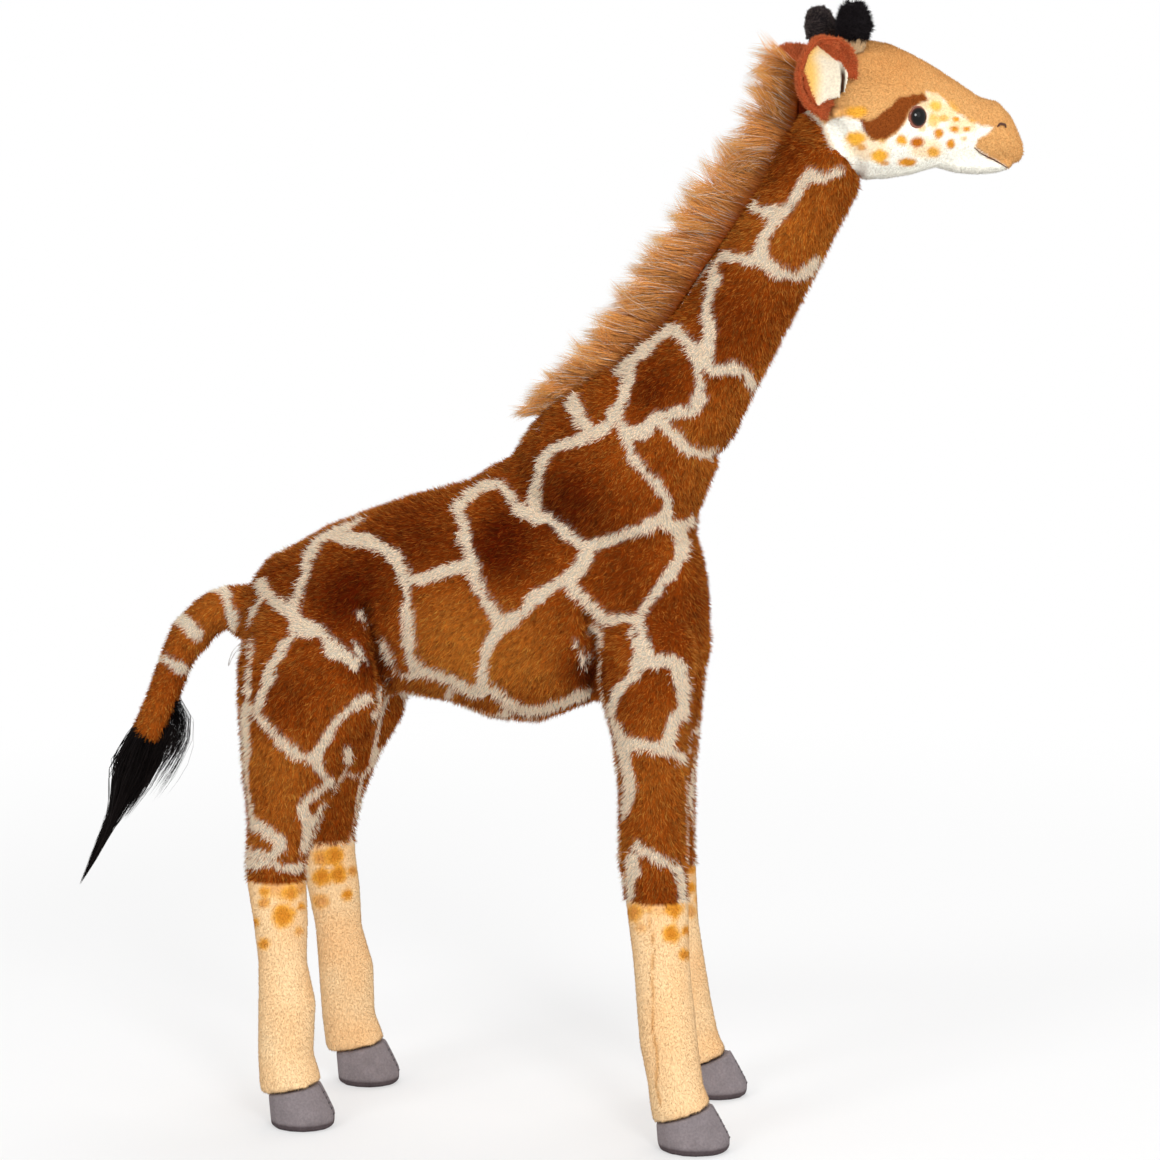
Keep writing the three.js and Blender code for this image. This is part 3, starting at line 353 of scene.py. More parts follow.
coat_points, coat_faces = sewn(COAT_NODES, STUFFING, SKIN_VOXEL, SKIN_SMOOTHING)


def along_neck(points):
    """How far up the neck from its foot each point lies."""
    return (points - NECK_PIVOT) @ NECK_UP


def seam_height(points):
    """The height of the band where each point's leg changes to cream."""
    return np.where(points[:, 0] > 0, FORE_SEAM, HIND_SEAM + LEFT_HIND_RISE * (points[:, 1] > 0))


coat_normals = normals_of(coat_points, coat_faces)
in_shank = eased(SEAM_SOFT, -SEAM_SOFT, coat_points[:, 2] - seam_height(coat_points))
in_tail = eased(TAIL_AHEAD, -TAIL_BEHIND, coat_points[:, 0] - TAIL_ROOT[0]) * (coat_points[:, 2] > TAIL_ABOVE)
room = PILE_ROOM + (SHORT_ROOM - PILE_ROOM) * in_shank + (TAIL_ROOM - PILE_ROOM) * in_tail
coat_points -= coat_normals * room[:, None]

# The tail's end is drawn down over the root of the tuft, and the seam between neck and back is rubbed smooth
TAIL_DRAWN, TAIL_DRAWN_FROM, TAIL_DRAWN_TO = np.array((-0.004, 0, -0.0155)), 0.290, 0.252
WITHERS_SEAM, WITHERS_REACH, WITHERS_ROUNDS = np.array((-0.0147, 0, 0.4248)), (0.052, 0.022), 45
RUB_SHARE = 0.5
coat_points += (in_tail * eased(TAIL_DRAWN_FROM, TAIL_DRAWN_TO, coat_points[:, 2]))[:, None] * TAIL_DRAWN
rub = RUB_SHARE * eased(*WITHERS_REACH, np.linalg.norm(coat_points - WITHERS_SEAM, axis=1))
rubbed_faces = coat_faces[(rub[coat_faces] > 0).any(1)]
corner_count = np.maximum(np.bincount(rubbed_faces.ravel(), minlength=len(coat_points)), 1)
for _ in range(WITHERS_ROUNDS):
    middles = np.repeat(coat_points[rubbed_faces].mean(1), rubbed_faces.shape[1], axis=0)
    sums = [np.bincount(rubbed_faces.ravel(), column, len(coat_points)) for column in middles.T]
    coat_points += (np.stack(sums, 1) / corner_count[:, None] - coat_points) * rub[:, None]
coat_normals = normals_of(coat_points, coat_faces)

# The places where the skin is free to bend: the bodies on each side, and where each stretch starts and ends.
NECK_LOW_FROM, NECK_LOW_TO, NECK_HIGH_FROM = -0.026, 0.045, 0.052
TURN_FROM, TURN_TO = 0.060, 0.125
TAIL_FROM_X, TAIL_TO_X, TAIL_Z = -0.1905, -0.2085, 0.32
TAIL_REACH = 0.012
TAIL_BEND = TAIL_REACH * TAIL_WAY
LEG_FROM, LEG_TO = 0.262, 0.212
FORELEG_AHEAD_OF, HINDLEG_BEHIND = 0.03, -0.08


def on_neck(s):
    """The point a distance s up the neck."""
    return NECK_PIVOT + s * NECK_UP


BENDS = {
    "neck_low": ("body", "lower_neck", on_neck(NECK_LOW_FROM), on_neck(NECK_LOW_TO)),
    "neck_high": ("lower_neck", "upper_neck", on_neck(TURN_FROM), on_neck(TURN_TO)),
    "tail_top": ("body", "upper_tail", (TAIL_FROM_X, 0, TAIL_Z), (TAIL_TO_X, 0, TAIL_Z)),
    "tail_low": ("upper_tail", "lower_tail", TAIL_PIVOT - TAIL_BEND, TAIL_PIVOT + TAIL_BEND),
    **{leg: ("body", leg, (0, 0, LEG_FROM), (0, 0, LEG_TO)) for leg in LEGS},
}
PARTS = ["body", "neck_low", "neck_high", "tail_top", "tail_low", *LEGS, *(f"{leg}_shank" for leg in LEGS)]


def part_at(points):
    """The number in PARTS of the stretch of skin that each point lies on."""
    x, y, z = points.T
    part = np.zeros(len(points), int)
    s = along_neck(points)
    part[(s > NECK_LOW_FROM) & (x > 0)] = PARTS.index("neck_low")
    part[(s > NECK_HIGH_FROM) & (x > 0)] = PARTS.index("neck_high")
    part[x < TAIL_FROM_X] = PARTS.index("tail_top")
    part[(x < TAIL_FROM_X) & ((points - TAIL_PIVOT) @ TAIL_WAY > -TAIL_REACH)] = PARTS.index("tail_low")
    for leg in LEGS:
        under = (x > FORELEG_AHEAD_OF) if "fore" in leg else (x < HINDLEG_BEHIND)
        mine = (z < LEG_FROM) & under & ((y > 0) == ("left" in leg))
        part[mine & ~((x < TAIL_FROM_X) & (z > TAIL_ABOVE))] = PARTS.index(leg)
        part[mine & (z < seam_height(points))] = PARTS.index(f"{leg}_shank")
    return part


def hold(piece, part):
    """Fixes a piece to the body that its part of the skin follows. A piece at a bend only has its place baked
    into its mesh.
    """
    if part in BENDS:
        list(BENDS[part])
        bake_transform(piece)
    else:
        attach(piece, part.replace("_shank", ""))


# The coat's colours. The lines are the cream seams of the pattern, drawn where the photograph shows them, in
# its pixels, and both sides of the toy have them. Where it shows nothing, cells of the same size take over.
COAT_LINES = {
    "rump_to_flank": [
        (257, 577), (268, 593), (281, 604), (293, 615), (310, 625), (326, 634), (339, 647), (351, 659),
    ],
    "hip_front": [
        (293, 615), (300, 595), (306, 577), (310, 559), (317, 543), (326, 534), (343, 527), (361, 518),
        (366, 514),
    ],
    "flank_top": [
        (324, 535), (342, 536), (361, 539), (377, 544), (395, 555), (405, 570), (408, 588), (408, 611),
        (409, 633), (412, 656), (419, 670),
    ],
    "saddle_low": [(408, 580), (425, 579), (444, 572), (464, 565), (473, 564)],
    "saddle_front": [
        (460, 507), (465, 524), (468, 543), (472, 559), (476, 576), (484, 593), (492, 608), (500, 624),
    ],
    "withers_low": [
        (460, 507), (473, 494), (489, 484), (502, 483), (512, 495), (518, 508), (529, 514), (544, 518),
        (558, 525), (570, 534), (581, 543), (589, 547),
    ],
    "ribs": [(500, 625), (518, 617), (532, 601), (549, 589), (566, 579), (579, 567), (588, 555), (589, 545)],
    "shoulder_top": [
        (589, 545), (605, 541), (624, 534), (643, 527), (661, 521), (677, 525), (682, 540), (680, 559),
    ],
    "neck_root_back": [
        (537, 518), (536, 499), (540, 478), (546, 457), (557, 447), (573, 442), (592, 434), (609, 425),
        (619, 410), (625, 393), (629, 380),
    ],
    "neck_root_front": [(617, 415), (626, 431), (632, 452), (645, 471), (659, 484), (668, 500), (666, 518)],
    "throat_low": [(626, 431), (643, 433), (656, 417), (675, 412), (694, 410), (701, 399)],
    "chest_top": [(656, 417), (675, 433), (685, 447), (701, 452), (720, 449)],
    "chest_edge": [(678, 525), (690, 521), (699, 511)],
    "chest": [
        (680, 559), (669, 574), (659, 587), (648, 604), (641, 620), (643, 636), (648, 652), (654, 662),
        (672, 659), (682, 668), (682, 684), (691, 688),
    ],
    "shoulder_low": [
        (588, 555), (581, 569), (571, 584), (585, 598), (598, 611), (609, 620), (624, 619), (641, 619),
    ],
    "armpit_back": [(574, 640), (581, 652), (587, 667)],
    "armpit_front": [(589, 636), (593, 626), (602, 633), (600, 652)],
    "flank_front": [(502, 628), (492, 635), (487, 652), (483, 672), (483, 688)],
    "belly": [
        (416, 670), (438, 673), (454, 681), (473, 691), (492, 688), (508, 701), (526, 709), (547, 707),
        (566, 701), (589, 689),
    ],
    "belly_edge": [(454, 683), (444, 704), (464, 710), (489, 715), (515, 717)],
    "thigh_patch": [
        (295, 627), (293, 636), (284, 650), (273, 665), (268, 684), (258, 705), (258, 715), (268, 726),
        (284, 742), (300, 755), (315, 758), (326, 736), (339, 718), (355, 704), (367, 696), (380, 697),
    ],
    "thigh_top": [(295, 627), (323, 634), (335, 653), (355, 664)],
    "groin_back": [(359, 613), (366, 620), (371, 626)],
    "groin_front": [(381, 640), (387, 650), (392, 662), (399, 672), (412, 677)],
    "thigh_edge": [(354, 641), (360, 652), (368, 664)],
    "groin_low": [(386, 680), (381, 696), (377, 712)],
    "rump_edge": [(262, 600), (253, 615), (250, 632), (252, 652), (250, 678), (248, 701), (250, 720)],
    "tail_root": [(215, 590), (228, 596), (234, 610), (233, 628)],
    "hind_back": [
        (248, 705), (244, 720), (246, 742), (244, 767), (245, 787), (248, 807), (251, 817), (258, 825),
        (270, 832), (280, 838), (282, 847), (272, 855), (255, 853), (248, 848),
    ],
    "hind_band": [(248, 861), (258, 862), (272, 861), (283, 867), (293, 867), (303, 864)],
    "hind_front": [
        (315, 758), (322, 772), (328, 782), (317, 790), (307, 798), (302, 808), (307, 818), (307, 832),
        (304, 847),
    ],
    "hind_inner": [
        (347, 750), (351, 760), (351, 772), (342, 787), (333, 797), (323, 808), (317, 817), (310, 832),
    ],
    "fore_arm": [
        (633, 633), (640, 650), (640, 667), (633, 677), (623, 685), (617, 693), (612, 708), (610, 722),
    ],
    "fore_front": [
        (640, 666), (648, 662), (663, 658), (673, 662), (678, 670), (679, 683), (684, 697), (688, 707),
        (675, 720), (669, 733), (668, 743),
    ],
    "fore_knee": [(612, 724), (623, 738), (633, 742), (647, 745), (663, 748), (677, 753), (688, 758)],
    "fore_back": [(624, 743), (626, 758), (628, 775), (631, 790), (628, 803), (620, 815)],
    "fore_band": [(637, 842), (643, 850), (655, 856), (668, 862), (677, 868), (682, 878), (683, 900)],
    "fore_heel": [(633, 858), (633, 872), (630, 886), (628, 896)],
    "neck_middle": [
        (711, 253), (732, 257), (761, 259), (770, 265), (780, 274), (798, 276), (810, 269), (816, 260),
    ],
    "neck_crest": [
        (761, 257), (765, 237), (776, 219), (788, 206), (800, 187), (808, 174), (824, 176), (840, 171),
    ],
    "neck_nape": [(752, 198), (759, 208), (771, 212), (783, 210)],
    "neck_back": [
        (711, 253), (717, 274), (710, 296), (707, 310), (712, 330), (710, 345), (700, 350), (690, 341),
        (680, 331), (671, 327), (661, 335), (646, 350), (632, 360), (621, 369),
    ],
    "neck_base": [(690, 341), (693, 354), (700, 370), (700, 384), (695, 396), (695, 410)],
    "neck_throat": [(710, 345), (707, 367), (712, 370), (732, 367), (746, 371), (755, 384)],
    "mane_foot": [(632, 363), (629, 381), (624, 396), (616, 410)],
    "mane_start": [(573, 395), (578, 408), (584, 420), (592, 432)],
    "mane_edge": [(560, 402), (548, 412), (538, 430)],
    "tail_first": [(225, 590), (229, 604), (234, 618)],
    "tail_second": [(178, 615), (186, 622), (196, 632)],
    "tail_third": [(158, 655), (170, 662), (184, 668)],
}
# Where the chestnut runs darker, below 0, or brighter, above 0: pixel, pixel, reach in pixels, amount. The
# small dark spots at (590, 672) and (372, 665) are painted shade in the creases of the folds behind the
# foreleg and in front of the hind leg
COAT_TONES_AND_CREASE_SHADE = [
    (350, 585, 48, -1.0), (410, 530, 44, -0.6), (500, 550, 42, -1.1), (500, 515, 24, -0.4),
    (572, 500, 46, -0.95), (590, 672, 22, -1.2), (372, 665, 22, -0.9), (300, 690, 44, -0.4),
    (444, 625, 50, 0.75), (530, 665, 46, 0.6), (620, 575, 44, -0.3), (680, 605, 40, -0.4),
    (655, 790, 60, 0.55), (275, 780, 60, 0.45), (640, 700, 30, -0.2), (745, 310, 50, -0.5),
    (665, 375, 40, -0.8), (650, 400, 26, -0.5), (790, 140, 44, -0.6), (800, 230, 44, 0.55),
    (725, 400, 38, 0.5), (690, 470, 40, 0.3), (270, 570, 30, -0.4), (385, 745, 26, -0.9), (200, 620, 60, 0.3),
    (150, 720, 40, 0.4), (470, 660, 30, 0.4),
]
# Lines that are narrower than the rest, by these pixels to each side
NARROWED = {
    "groin_back": 3.4, "groin_front": 3.2, "thigh_edge": 3.0, "groin_low": 2.4, "armpit_back": 2.6,
    "armpit_front": 2.8, "tail_root": 2.8, "rump_edge": 3.2, "mane_edge": 3.4, "belly_edge": 2.4,
    "thigh_patch": 0.6, "mane_start": -1.0, "chest_edge": 2.0, "throat_low": -0.6, "flank_top": -0.8,
    "ribs": -0.8, "hind_inner": 2.2,
}
LINE_HALF_WIDTH, LINE_SOFT = 5.5, 1.5
LINE_NOISE, LINE_NOISE_SIZE = 3.0, 0.008
PIXEL, FAR_OFF = 0.00063, 1e6
# How far the skin turns from the camera before cells take over from the drawn lines
FACING_LINES, FACING_CELLS, NO_LINE = 0.34, 0.12, 30
CELL_SPACING, CELL_TRIES, CELL_SLIMNESS = 0.052, 4000, 1.1
# The cells on the inner sides of the legs' tops have slimmer borders
INNER_FACING, INNER_HEIGHT, INNER_CELLS = (0.05, -0.3), (0.33, 0.29), 2.2
TONE_DRIFT, TONE_DRIFT_SIZE = 0.35, 0.03
# The left legs' stride against the right legs': the height it starts at, how far it goes, and how far it bows
LEFT_STRIDES = {"fore": (SHOULDER_Z, -0.005, -0.008), "hind": (HIP_Z, 0.017, 0.0)}
STRIDE_FROM, STRIDE_TO, FORE_HALF_X = 0.29, 0.24, -0.02
PICTURE_RIGHT = np.array((math.cos(VIEW_TURN), math.sin(VIEW_TURN), 0))
PICTURE_BACK = np.array(TO_CAMERA)
PICTURE_UP = np.cross(PICTURE_BACK, PICTURE_RIGHT)


def mixed(one, other, share):
    """From one colour or direction to another, by a share from 0 to 1."""
    return one * (1 - share) + other * share


def in_picture(points):
    """Where points lie in the photograph, in its pixels."""
    off = points - np.array(AIM)
    scale = LENS_PIXELS / (VIEW_DISTANCE - off @ PICTURE_BACK)
    return np.stack([PICTURE / 2 + off @ PICTURE_RIGHT * scale, PICTURE / 2 - off @ PICTURE_UP * scale], 1)


def as_right_side(points):
    """The left side's points, moved to the place on the right side that has the same pattern."""
    moved = points.copy()
    for kind, (height, stride, bow) in LEFT_STRIDES.items():
        down = np.clip(1 - points[:, 2] / height, 0, 1)
        shift = down * stride + np.sin(down * math.pi) * bow
        mine = (points[:, 1] > 0) & ((points[:, 0] > FORE_HALF_X) == (kind == "fore"))
        moved[:, 0] -= np.where(mine, shift * eased(STRIDE_FROM, STRIDE_TO, points[:, 2]), 0)
    moved[:, 1] = -np.abs(moved[:, 1])
    return moved


def towards_camera(points, normals):
    """How far the skin faces the photograph's camera, with the left side seen as if it were the right."""
    return (normals * np.where(points[:, 1:2] > 0, (1, -1, 1), (1, 1, 1))) @ PICTURE_BACK


def round_about(spots, px, py, reach):
    """1 at a pixel, fading smoothly over a reach around it."""
    return np.exp(-(np.hypot(*(spots - (px, py)).T) / reach) ** 2)


def off_lines(spots, lines, narrowed=None):
    """The distance in pixels from each spot to the nearest line, counted longer from a narrowed line."""
    best = np.full(len(spots), FAR_OFF)
    for name, line in lines.items() if isinstance(lines, dict) else enumerate(lines):
        more = (narrowed or {}).get(name, 0)
        for a, b in zip(np.array(line[:-1], float), np.array(line[1:], float)):
            way = b - a
            t = np.clip((spots - a) @ way / (way @ way), 0, 1)
            best = np.minimum(best, np.hypot(*(spots - a - t[:, None] * way).T) + more)
    return best


# Large, uneven numbers that stir a cell's place into a number that seems random
STIR, STIR_SEED, STIR_SPREAD = np.array((12.9898, 78.233, 37.719)), 4.137, 43758.5453


def hashed(cells, seed):
    """A number from 0 to 1 for each whole-numbered cell."""
    mixed_up = np.sin(cells @ STIR + seed * STIR_SEED) * STIR_SPREAD
    return mixed_up - np.floor(mixed_up)


def ripple(points, size, seed=0):
    """Smooth noise from -1 to 1, with bumps of a size in metres."""
    at = points / size
    base = np.floor(at)
    t = eased(0, 1, at - base)
    total = np.zeros(len(points))
    for corner in np.ndindex(2, 2, 2):
        weight = np.prod(np.where(np.array(corner), t, 1 - t), axis=1)
        total += weight * hashed(base + np.array(corner), seed)
    return total * 2 - 1


def cells_apart(points, rng):
    """The distance in pixels from each point to the nearest border of a cell pattern on the right half."""
    low, high = points.min(0), points.max(0)
    seeds = []
    for at in rng.uniform(low, high, (CELL_TRIES, 3)):
        if all(np.linalg.norm(at - s) > CELL_SPACING for s in seeds):
            seeds.append(at)
    near = np.full((len(points), 2), FAR_OFF)
    for seed in seeds:
        d = np.linalg.norm(points - seed, axis=1)
        near[:, 1] = np.minimum(near[:, 1], np.maximum(d, near[:, 0]))
        near[:, 0] = np.minimum(near[:, 0], d)
    return (near[:, 1] - near[:, 0]) / 2 / PIXEL * CELL_SLIMNESS


# Folds that the stuffed skin makes where a leg meets the body: points in the photograph's pixels, half width
# in pixels and depth
FOLDS = [
    ([(362, 606), (368, 626), (376, 648), (382, 672), (383, 700)], 5.5, 0.0085),
    ([(584, 618), (590, 640), (593, 660), (590, 690)], 6.0, 0.0085),
]
# Places that the stuffing rounds out: pixel, pixel, reach in pixels, height
ROUNDED = [(238, 690, 55, 0.0035), (244, 760, 40, 0.0015)]
plain_spots = in_picture(as_right_side(coat_points))
for px, py, reach, high in ROUNDED:
    coat_points += coat_normals * (high * round_about(plain_spots, px, py, reach) * (in_tail < 0.5))[:, None]
near_side = towards_camera(coat_points, coat_normals) > 0
fold_depth = np.zeros(len(coat_points))
for line, half, depth in FOLDS:
    fold_depth += depth * np.exp(-(off_lines(plain_spots, [line]) / half) ** 2) * near_side
coat_points -= coat_normals * fold_depth[:, None]
coat_normals = normals_of(coat_points, coat_faces)

rng = np.random.default_rng(7)
same_side = as_right_side(coat_points)
coat_spots = in_picture(same_side)
facing = towards_camera(coat_points, coat_normals)
drawn = eased(FACING_CELLS, FACING_LINES, facing)
hidden = np.where(in_tail > 0.5, 0, NO_LINE * (1 - drawn))
shown = np.where(in_tail > 0.5, NO_LINE, NO_LINE * drawn)
inner = eased(*INNER_FACING, facing) * eased(*INNER_HEIGHT, coat_points[:, 2])
off_cream = np.minimum(
    off_lines(coat_spots, COAT_LINES, NARROWED) + hidden,
    cells_apart(same_side, rng) * (1 + INNER_CELLS * inner) + shown,
)
coat_tone_and_crease_shade = TONE_DRIFT * ripple(same_side, TONE_DRIFT_SIZE, 3)
# the table's crease spots add painted shade to the coat's tone
for px, py, reach, amount in COAT_TONES_AND_CREASE_SHADE:
    coat_tone_and_crease_shade += amount * round_about(coat_spots, px, py, reach) * drawn

# Every hair lies the way the pile was combed: down the neck, back along the body, down the legs
COMB_BODY = np.array((-0.75, 0, -0.66))
COMB_LEG = np.array((-0.1, 0, -1.0))
COMB_TAIL = np.array((-0.6, 0, -0.8))
COMB_NECK_FROM, COMB_LEG_FROM, COMB_LEG_TO = -0.10, 0.31, 0.24
to_neck = eased(COMB_NECK_FROM, 0.0, along_neck(coat_points))[:, None]
to_leg = eased(COMB_LEG_FROM, COMB_LEG_TO, coat_points[:, 2])[:, None]
coat_comb = mixed(mixed(COMB_BODY, -NECK_UP, to_neck), COMB_LEG, to_leg)
coat_comb = np.where((coat_points[:, 0] < TAIL_FROM_X)[:, None], COMB_TAIL, coat_comb)

CHESTNUT_DARK, CHESTNUT, CHESTNUT_BRIGHT = linear(112, 32, 0), linear(184, 84, 16), linear(240, 142, 50)
# The cream hairs' roots are cream darkened as painted shade deep in the pile
CHESTNUT_TIP, CREAM, CREAM_ROOT_SHADED = linear(255, 176, 82), linear(255, 242, 220), linear(255, 222, 190)
# The coat's skin shows between its hairs; this share darkens its colour as painted shade under the pile
COAT_SKIN_PAINTED_SHADE = 0.55
CLOTH_SHEEN, CLOTH_GRAIN, CLOTH_SHADES, CLOTH_BUMP = 0.04, 700, (0.88, 1.12), 0.5


def chestnut(tone):
    """The coat's brown, dark at -1 and bright at 1."""
    t = np.clip(tone, -1, 1)[:, None]
    return np.where(t < 0, mixed(CHESTNUT, CHESTNUT_DARK, -t), mixed(CHESTNUT, CHESTNUT_BRIGHT, t))


def dyed_under(tree, shader, over, blend, amount):
    """Gives a shader the dye of its mesh, with something mixed over it."""
    dye = tree.nodes.new("ShaderNodeAttribute")
    dye.attribute_name = "dye"
    made = tree.nodes.new("ShaderNodeMix")
    made.data_type, made.blend_type = "RGBA", blend
    made.inputs["Factor"].default_value = amount
    wire_up(tree, dye.outputs["Color"], made.inputs["A"])
    wire_up(tree, over, made.inputs["B"])
    wire_up(tree, made.outputs["Result"], shader.inputs["Base Color"])


def dyed_cloth(name, roughness=0.93, depth=0.0003):
    """Cloth that takes its dye from the mesh, with a fine grain in colour and surface."""
    made, tree, shader = finish_of(name, roughness)
    shader.inputs["Specular IOR Level"].default_value = CLOTH_SHEEN
    grain = fine_noise(tree, CLOTH_GRAIN)
    shade = ranged(tree, grain.outputs["Fac"], GRAIN_ENDS, CLOTH_SHADES)
    dyed_under(tree, shader, shade.outputs["Result"], "MULTIPLY", 1)
    embossed(tree, shader, grain.outputs["Fac"], depth, CLOTH_BUMP)
    return made


def cloth(name, points, faces, dye, finish):
    """A smooth mesh from arrays, with its dye as a colour attribute."""
    mesh = bpy.data.meshes.new(name)
    mesh.vertices.add(len(points))
    mesh.vertices.foreach_set("co", points.astype(np.float32).ravel())
    mesh.loops.add(faces.size)
    mesh.loops.foreach_set("vertex_index", faces.astype(np.int32).ravel())
    mesh.polygons.add(len(faces))
    mesh.polygons.foreach_set("loop_start", np.arange(0, faces.size, faces.shape[1], dtype=np.int32))
    mesh.update(calc_edges=True)
    mesh.polygons.foreach_set("use_smooth", np.ones(len(faces), bool))
    colours = mesh.color_attributes.new("dye", "FLOAT_COLOR", "POINT")
    full = np.concatenate([np.clip(dye, 0, 1), np.ones((len(dye), 1))], 1).astype(np.float32)
    colours.data.foreach_set("color", full.ravel())
    mesh.materials.append(finish)
    return put(name, mesh)


def cut_out(name, keep, points, faces, dye, finish):
    """A piece of cloth from some of a skin's faces."""
    mine = faces[keep]
    used = np.unique(mine)
    number = np.zeros(len(points), int)
    number[used] = np.arange(len(used))
    return cloth(name, points[used], number[mine], dye[used], finish)


plush = dyed_cloth("plush")
off_soft = off_cream + LINE_NOISE * ripple(coat_points, LINE_NOISE_SIZE, 1)
is_line = eased(LINE_HALF_WIDTH + LINE_SOFT, LINE_HALF_WIDTH - LINE_SOFT, off_soft)[:, None]
# the skin's dye, darkened by painted shade under the pile
skin_dye_and_shade = mixed(chestnut(coat_tone_and_crease_shade), CREAM, is_line) * COAT_SKIN_PAINTED_SHADE
SHANK_CREAM, SHANK_ROOT = linear(252, 218, 170), linear(246, 196, 138)
SHANK_WARMTH, SHANK_WARMTH_SIZE = 0.4, 0.018
# Orange spots air-brushed on the lower legs: pixel, pixel, reach, amount. Each side of the toy has its own
SPOTS = {
    "right": [
        (284, 916, 12, 1.0), (264, 891, 6, 0.8), (264, 902, 6, 0.7), (290, 893, 9, 0.8), (264, 943, 6, 0.8),
        (254, 922, 5, 0.8), (299, 931, 5, 0.6), (301, 906, 4, 0.8), (276, 884, 14, 0.5), (300, 888, 6, 0.6),
        (674, 909, 9, 0.9), (671, 934, 10, 1.0), (684, 954, 6, 0.8), (634, 912, 9, 0.75), (686, 930, 5, 0.8),
        (645, 904, 8, 0.5), (660, 904, 12, 0.35), (641, 928, 6, 0.4),
    ],
    "left": [
        (334, 855, 10, 1.0), (322, 877, 10, 0.9), (338, 874, 9, 0.95), (347, 894, 6, 0.9), (352, 871, 5, 0.7),
        (321, 901, 8, 0.6), (320, 858, 8, 0.7), (690, 887, 6, 0.9), (691, 869, 5, 0.8), (691, 911, 6, 0.6),
        (699, 899, 5, 0.6),
    ],
}
SPOT_ORANGE, SPOT_DEEP = linear(240, 172, 66), linear(206, 122, 30)
SPOT_EDGE, SPOT_CORE, SPOT_INK, SPOT_DARK = (1.25, 0.75), (0.95, 0.3), 1.2, 0.75
SPOT_NOISE, SPOT_NOISE_SIZE, SPOT_STRAY = 0.22, 0.004, 0.1
SHANK_SEAM = [
    (651, 905), (650, 925), (655, 948), (651, 972), (654, 1000), (653, 1030), (658, 1058), (656, 1085),
    (661, 1105),
]
# Painted shade in the seam's groove on the right shank: how much it darkens each colour, the band's edges in
# pixels, and how far hairs stray
SHANK_GROOVE_SHADE, GROOVE_EDGE, GROOVE_STRAY = np.array((0.74, 0.60, 0.44)), (2.2, 0.6), 0.5


def shank_dye(points, hand, stray=0.0):
    """The colour of the lower legs' pile on one side of the toy. Hairs stray over the spots' edges."""
    seen = in_picture(points if hand == "left" else as_right_side(points))
    warm = SHANK_WARMTH * (1 + ripple(points, SHANK_WARMTH_SIZE, 5))[:, None]
    colour = mixed(SHANK_CREAM, SHANK_ROOT, warm)
    for px, py, reach, amount in SPOTS[hand]:
        gap = np.hypot(*(seen - (px, py)).T) / reach
        gap = gap + SPOT_NOISE * ripple(points, SPOT_NOISE_SIZE, 6) + SPOT_STRAY * stray
        ink = min(1.0, amount * SPOT_INK) * eased(*SPOT_EDGE, gap)[:, None]
        deep = SPOT_DARK * eased(*SPOT_CORE, gap)[:, None]
        colour = mixed(colour, mixed(SPOT_ORANGE, SPOT_DEEP, deep), ink)
    if hand == "left":
        return colour
    # the seam's groove is darkened as painted shade
    stitched = eased(*GROOVE_EDGE, off_lines(seen, [SHANK_SEAM]) + GROOVE_STRAY * stray)[:, None]
    return colour * mixed(1, SHANK_GROOVE_SHADE, stitched)


SKIN_NODES = {
    "body": "torso", "neck_low": "neck_lower", "neck_high": "neck_upper", "tail_top": "tail_upper",
    "tail_low": "tail_lower", **{leg: f"{leg}_thigh" for leg in LEGS},
    **{f"{leg}_shank": f"{leg}_shank" for leg in LEGS},
}
point_part = part_at(coat_points)
for hand in ("left", "right"):
    low = np.isin(point_part, [i for i, part in enumerate(PARTS) if part.endswith(f"{hand}_shank")])
    skin_dye_and_shade[low] = shank_dye(coat_points[low], hand)
face_part = part_at(coat_points[coat_faces].mean(1))
for number, part in enumerate(PARTS):
    piece = cut_out(f"skin_{part}", face_part == number, coat_points, coat_faces, skin_dye_and_shade, plush)
    "cream_plush" if "shank" in part else "brown_plush"
    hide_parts(SKIN_NODES[part])
    hold(piece, part)

# Pile of the coat: cut polyester hairs, woven into the fabric's backing. They are about five millimetres long
# on the body and shorter on the lower legs. They lean the way they were combed and stand in small tufts.
PILE_PER_CM2, SHORT_PER_CM2 = 80, 190
PILE_LENGTH, SHORT_LENGTH, LENGTHS_VARY = 0.0048, 0.0017, (0.72, 1.15)
PILE_THICK, SHORT_THICK, TAIL_SHARE = 0.00035, 0.00024, 0.7
PILE_COMBED, SHORT_COMBED = dict(lean=0.95), dict(lean=1.6, spread=0.16, tuft_pull=0.10)
# How much of its tip's colour a hair's root keeps, darkened as painted shade deep in the pile, and how much
# the hairs vary in shade
PILE_ROOT_PAINTED_SHADE, SHORT_ROOT_PAINTED_SHADE = 0.36, 0.96
DYES_VARY, SHORT_DYES_SHARE = (0.78, 1.2), 0.28
CREAM_LEAST, CREAM_SHARE = 0.92, 0.1
# How the cream lines' edges wander, in pixels, over bumps of a size in metres
LINE_FINE_NOISE, LINE_FINE_SIZE = 1.6, 0.0028
LINE_WIDTH_VARY, LINE_WIDTH_SIZE = 1.8, 0.02
LINE_STRAY = 0.8
# How the brown hairs vary: in tone, in how many have pale tips, and in shade from tuft to tuft
BROWN_VARY = 0.25
LIT_POWER, LIT_SHARE, LIT_BY_TONE = 2.2, 0.8, 0.6
MOTTLE_SIZE, MOTTLE_LOW, MOTTLE_SPAN = 0.0021, 0.60, 0.80
TUFT_SIZE, STUMP_REACH = 0.0026, 0.024
UPRIGHT_LEAST, UPRIGHT_HELP = 0.25, 0.6
MOST_FACES = 180000


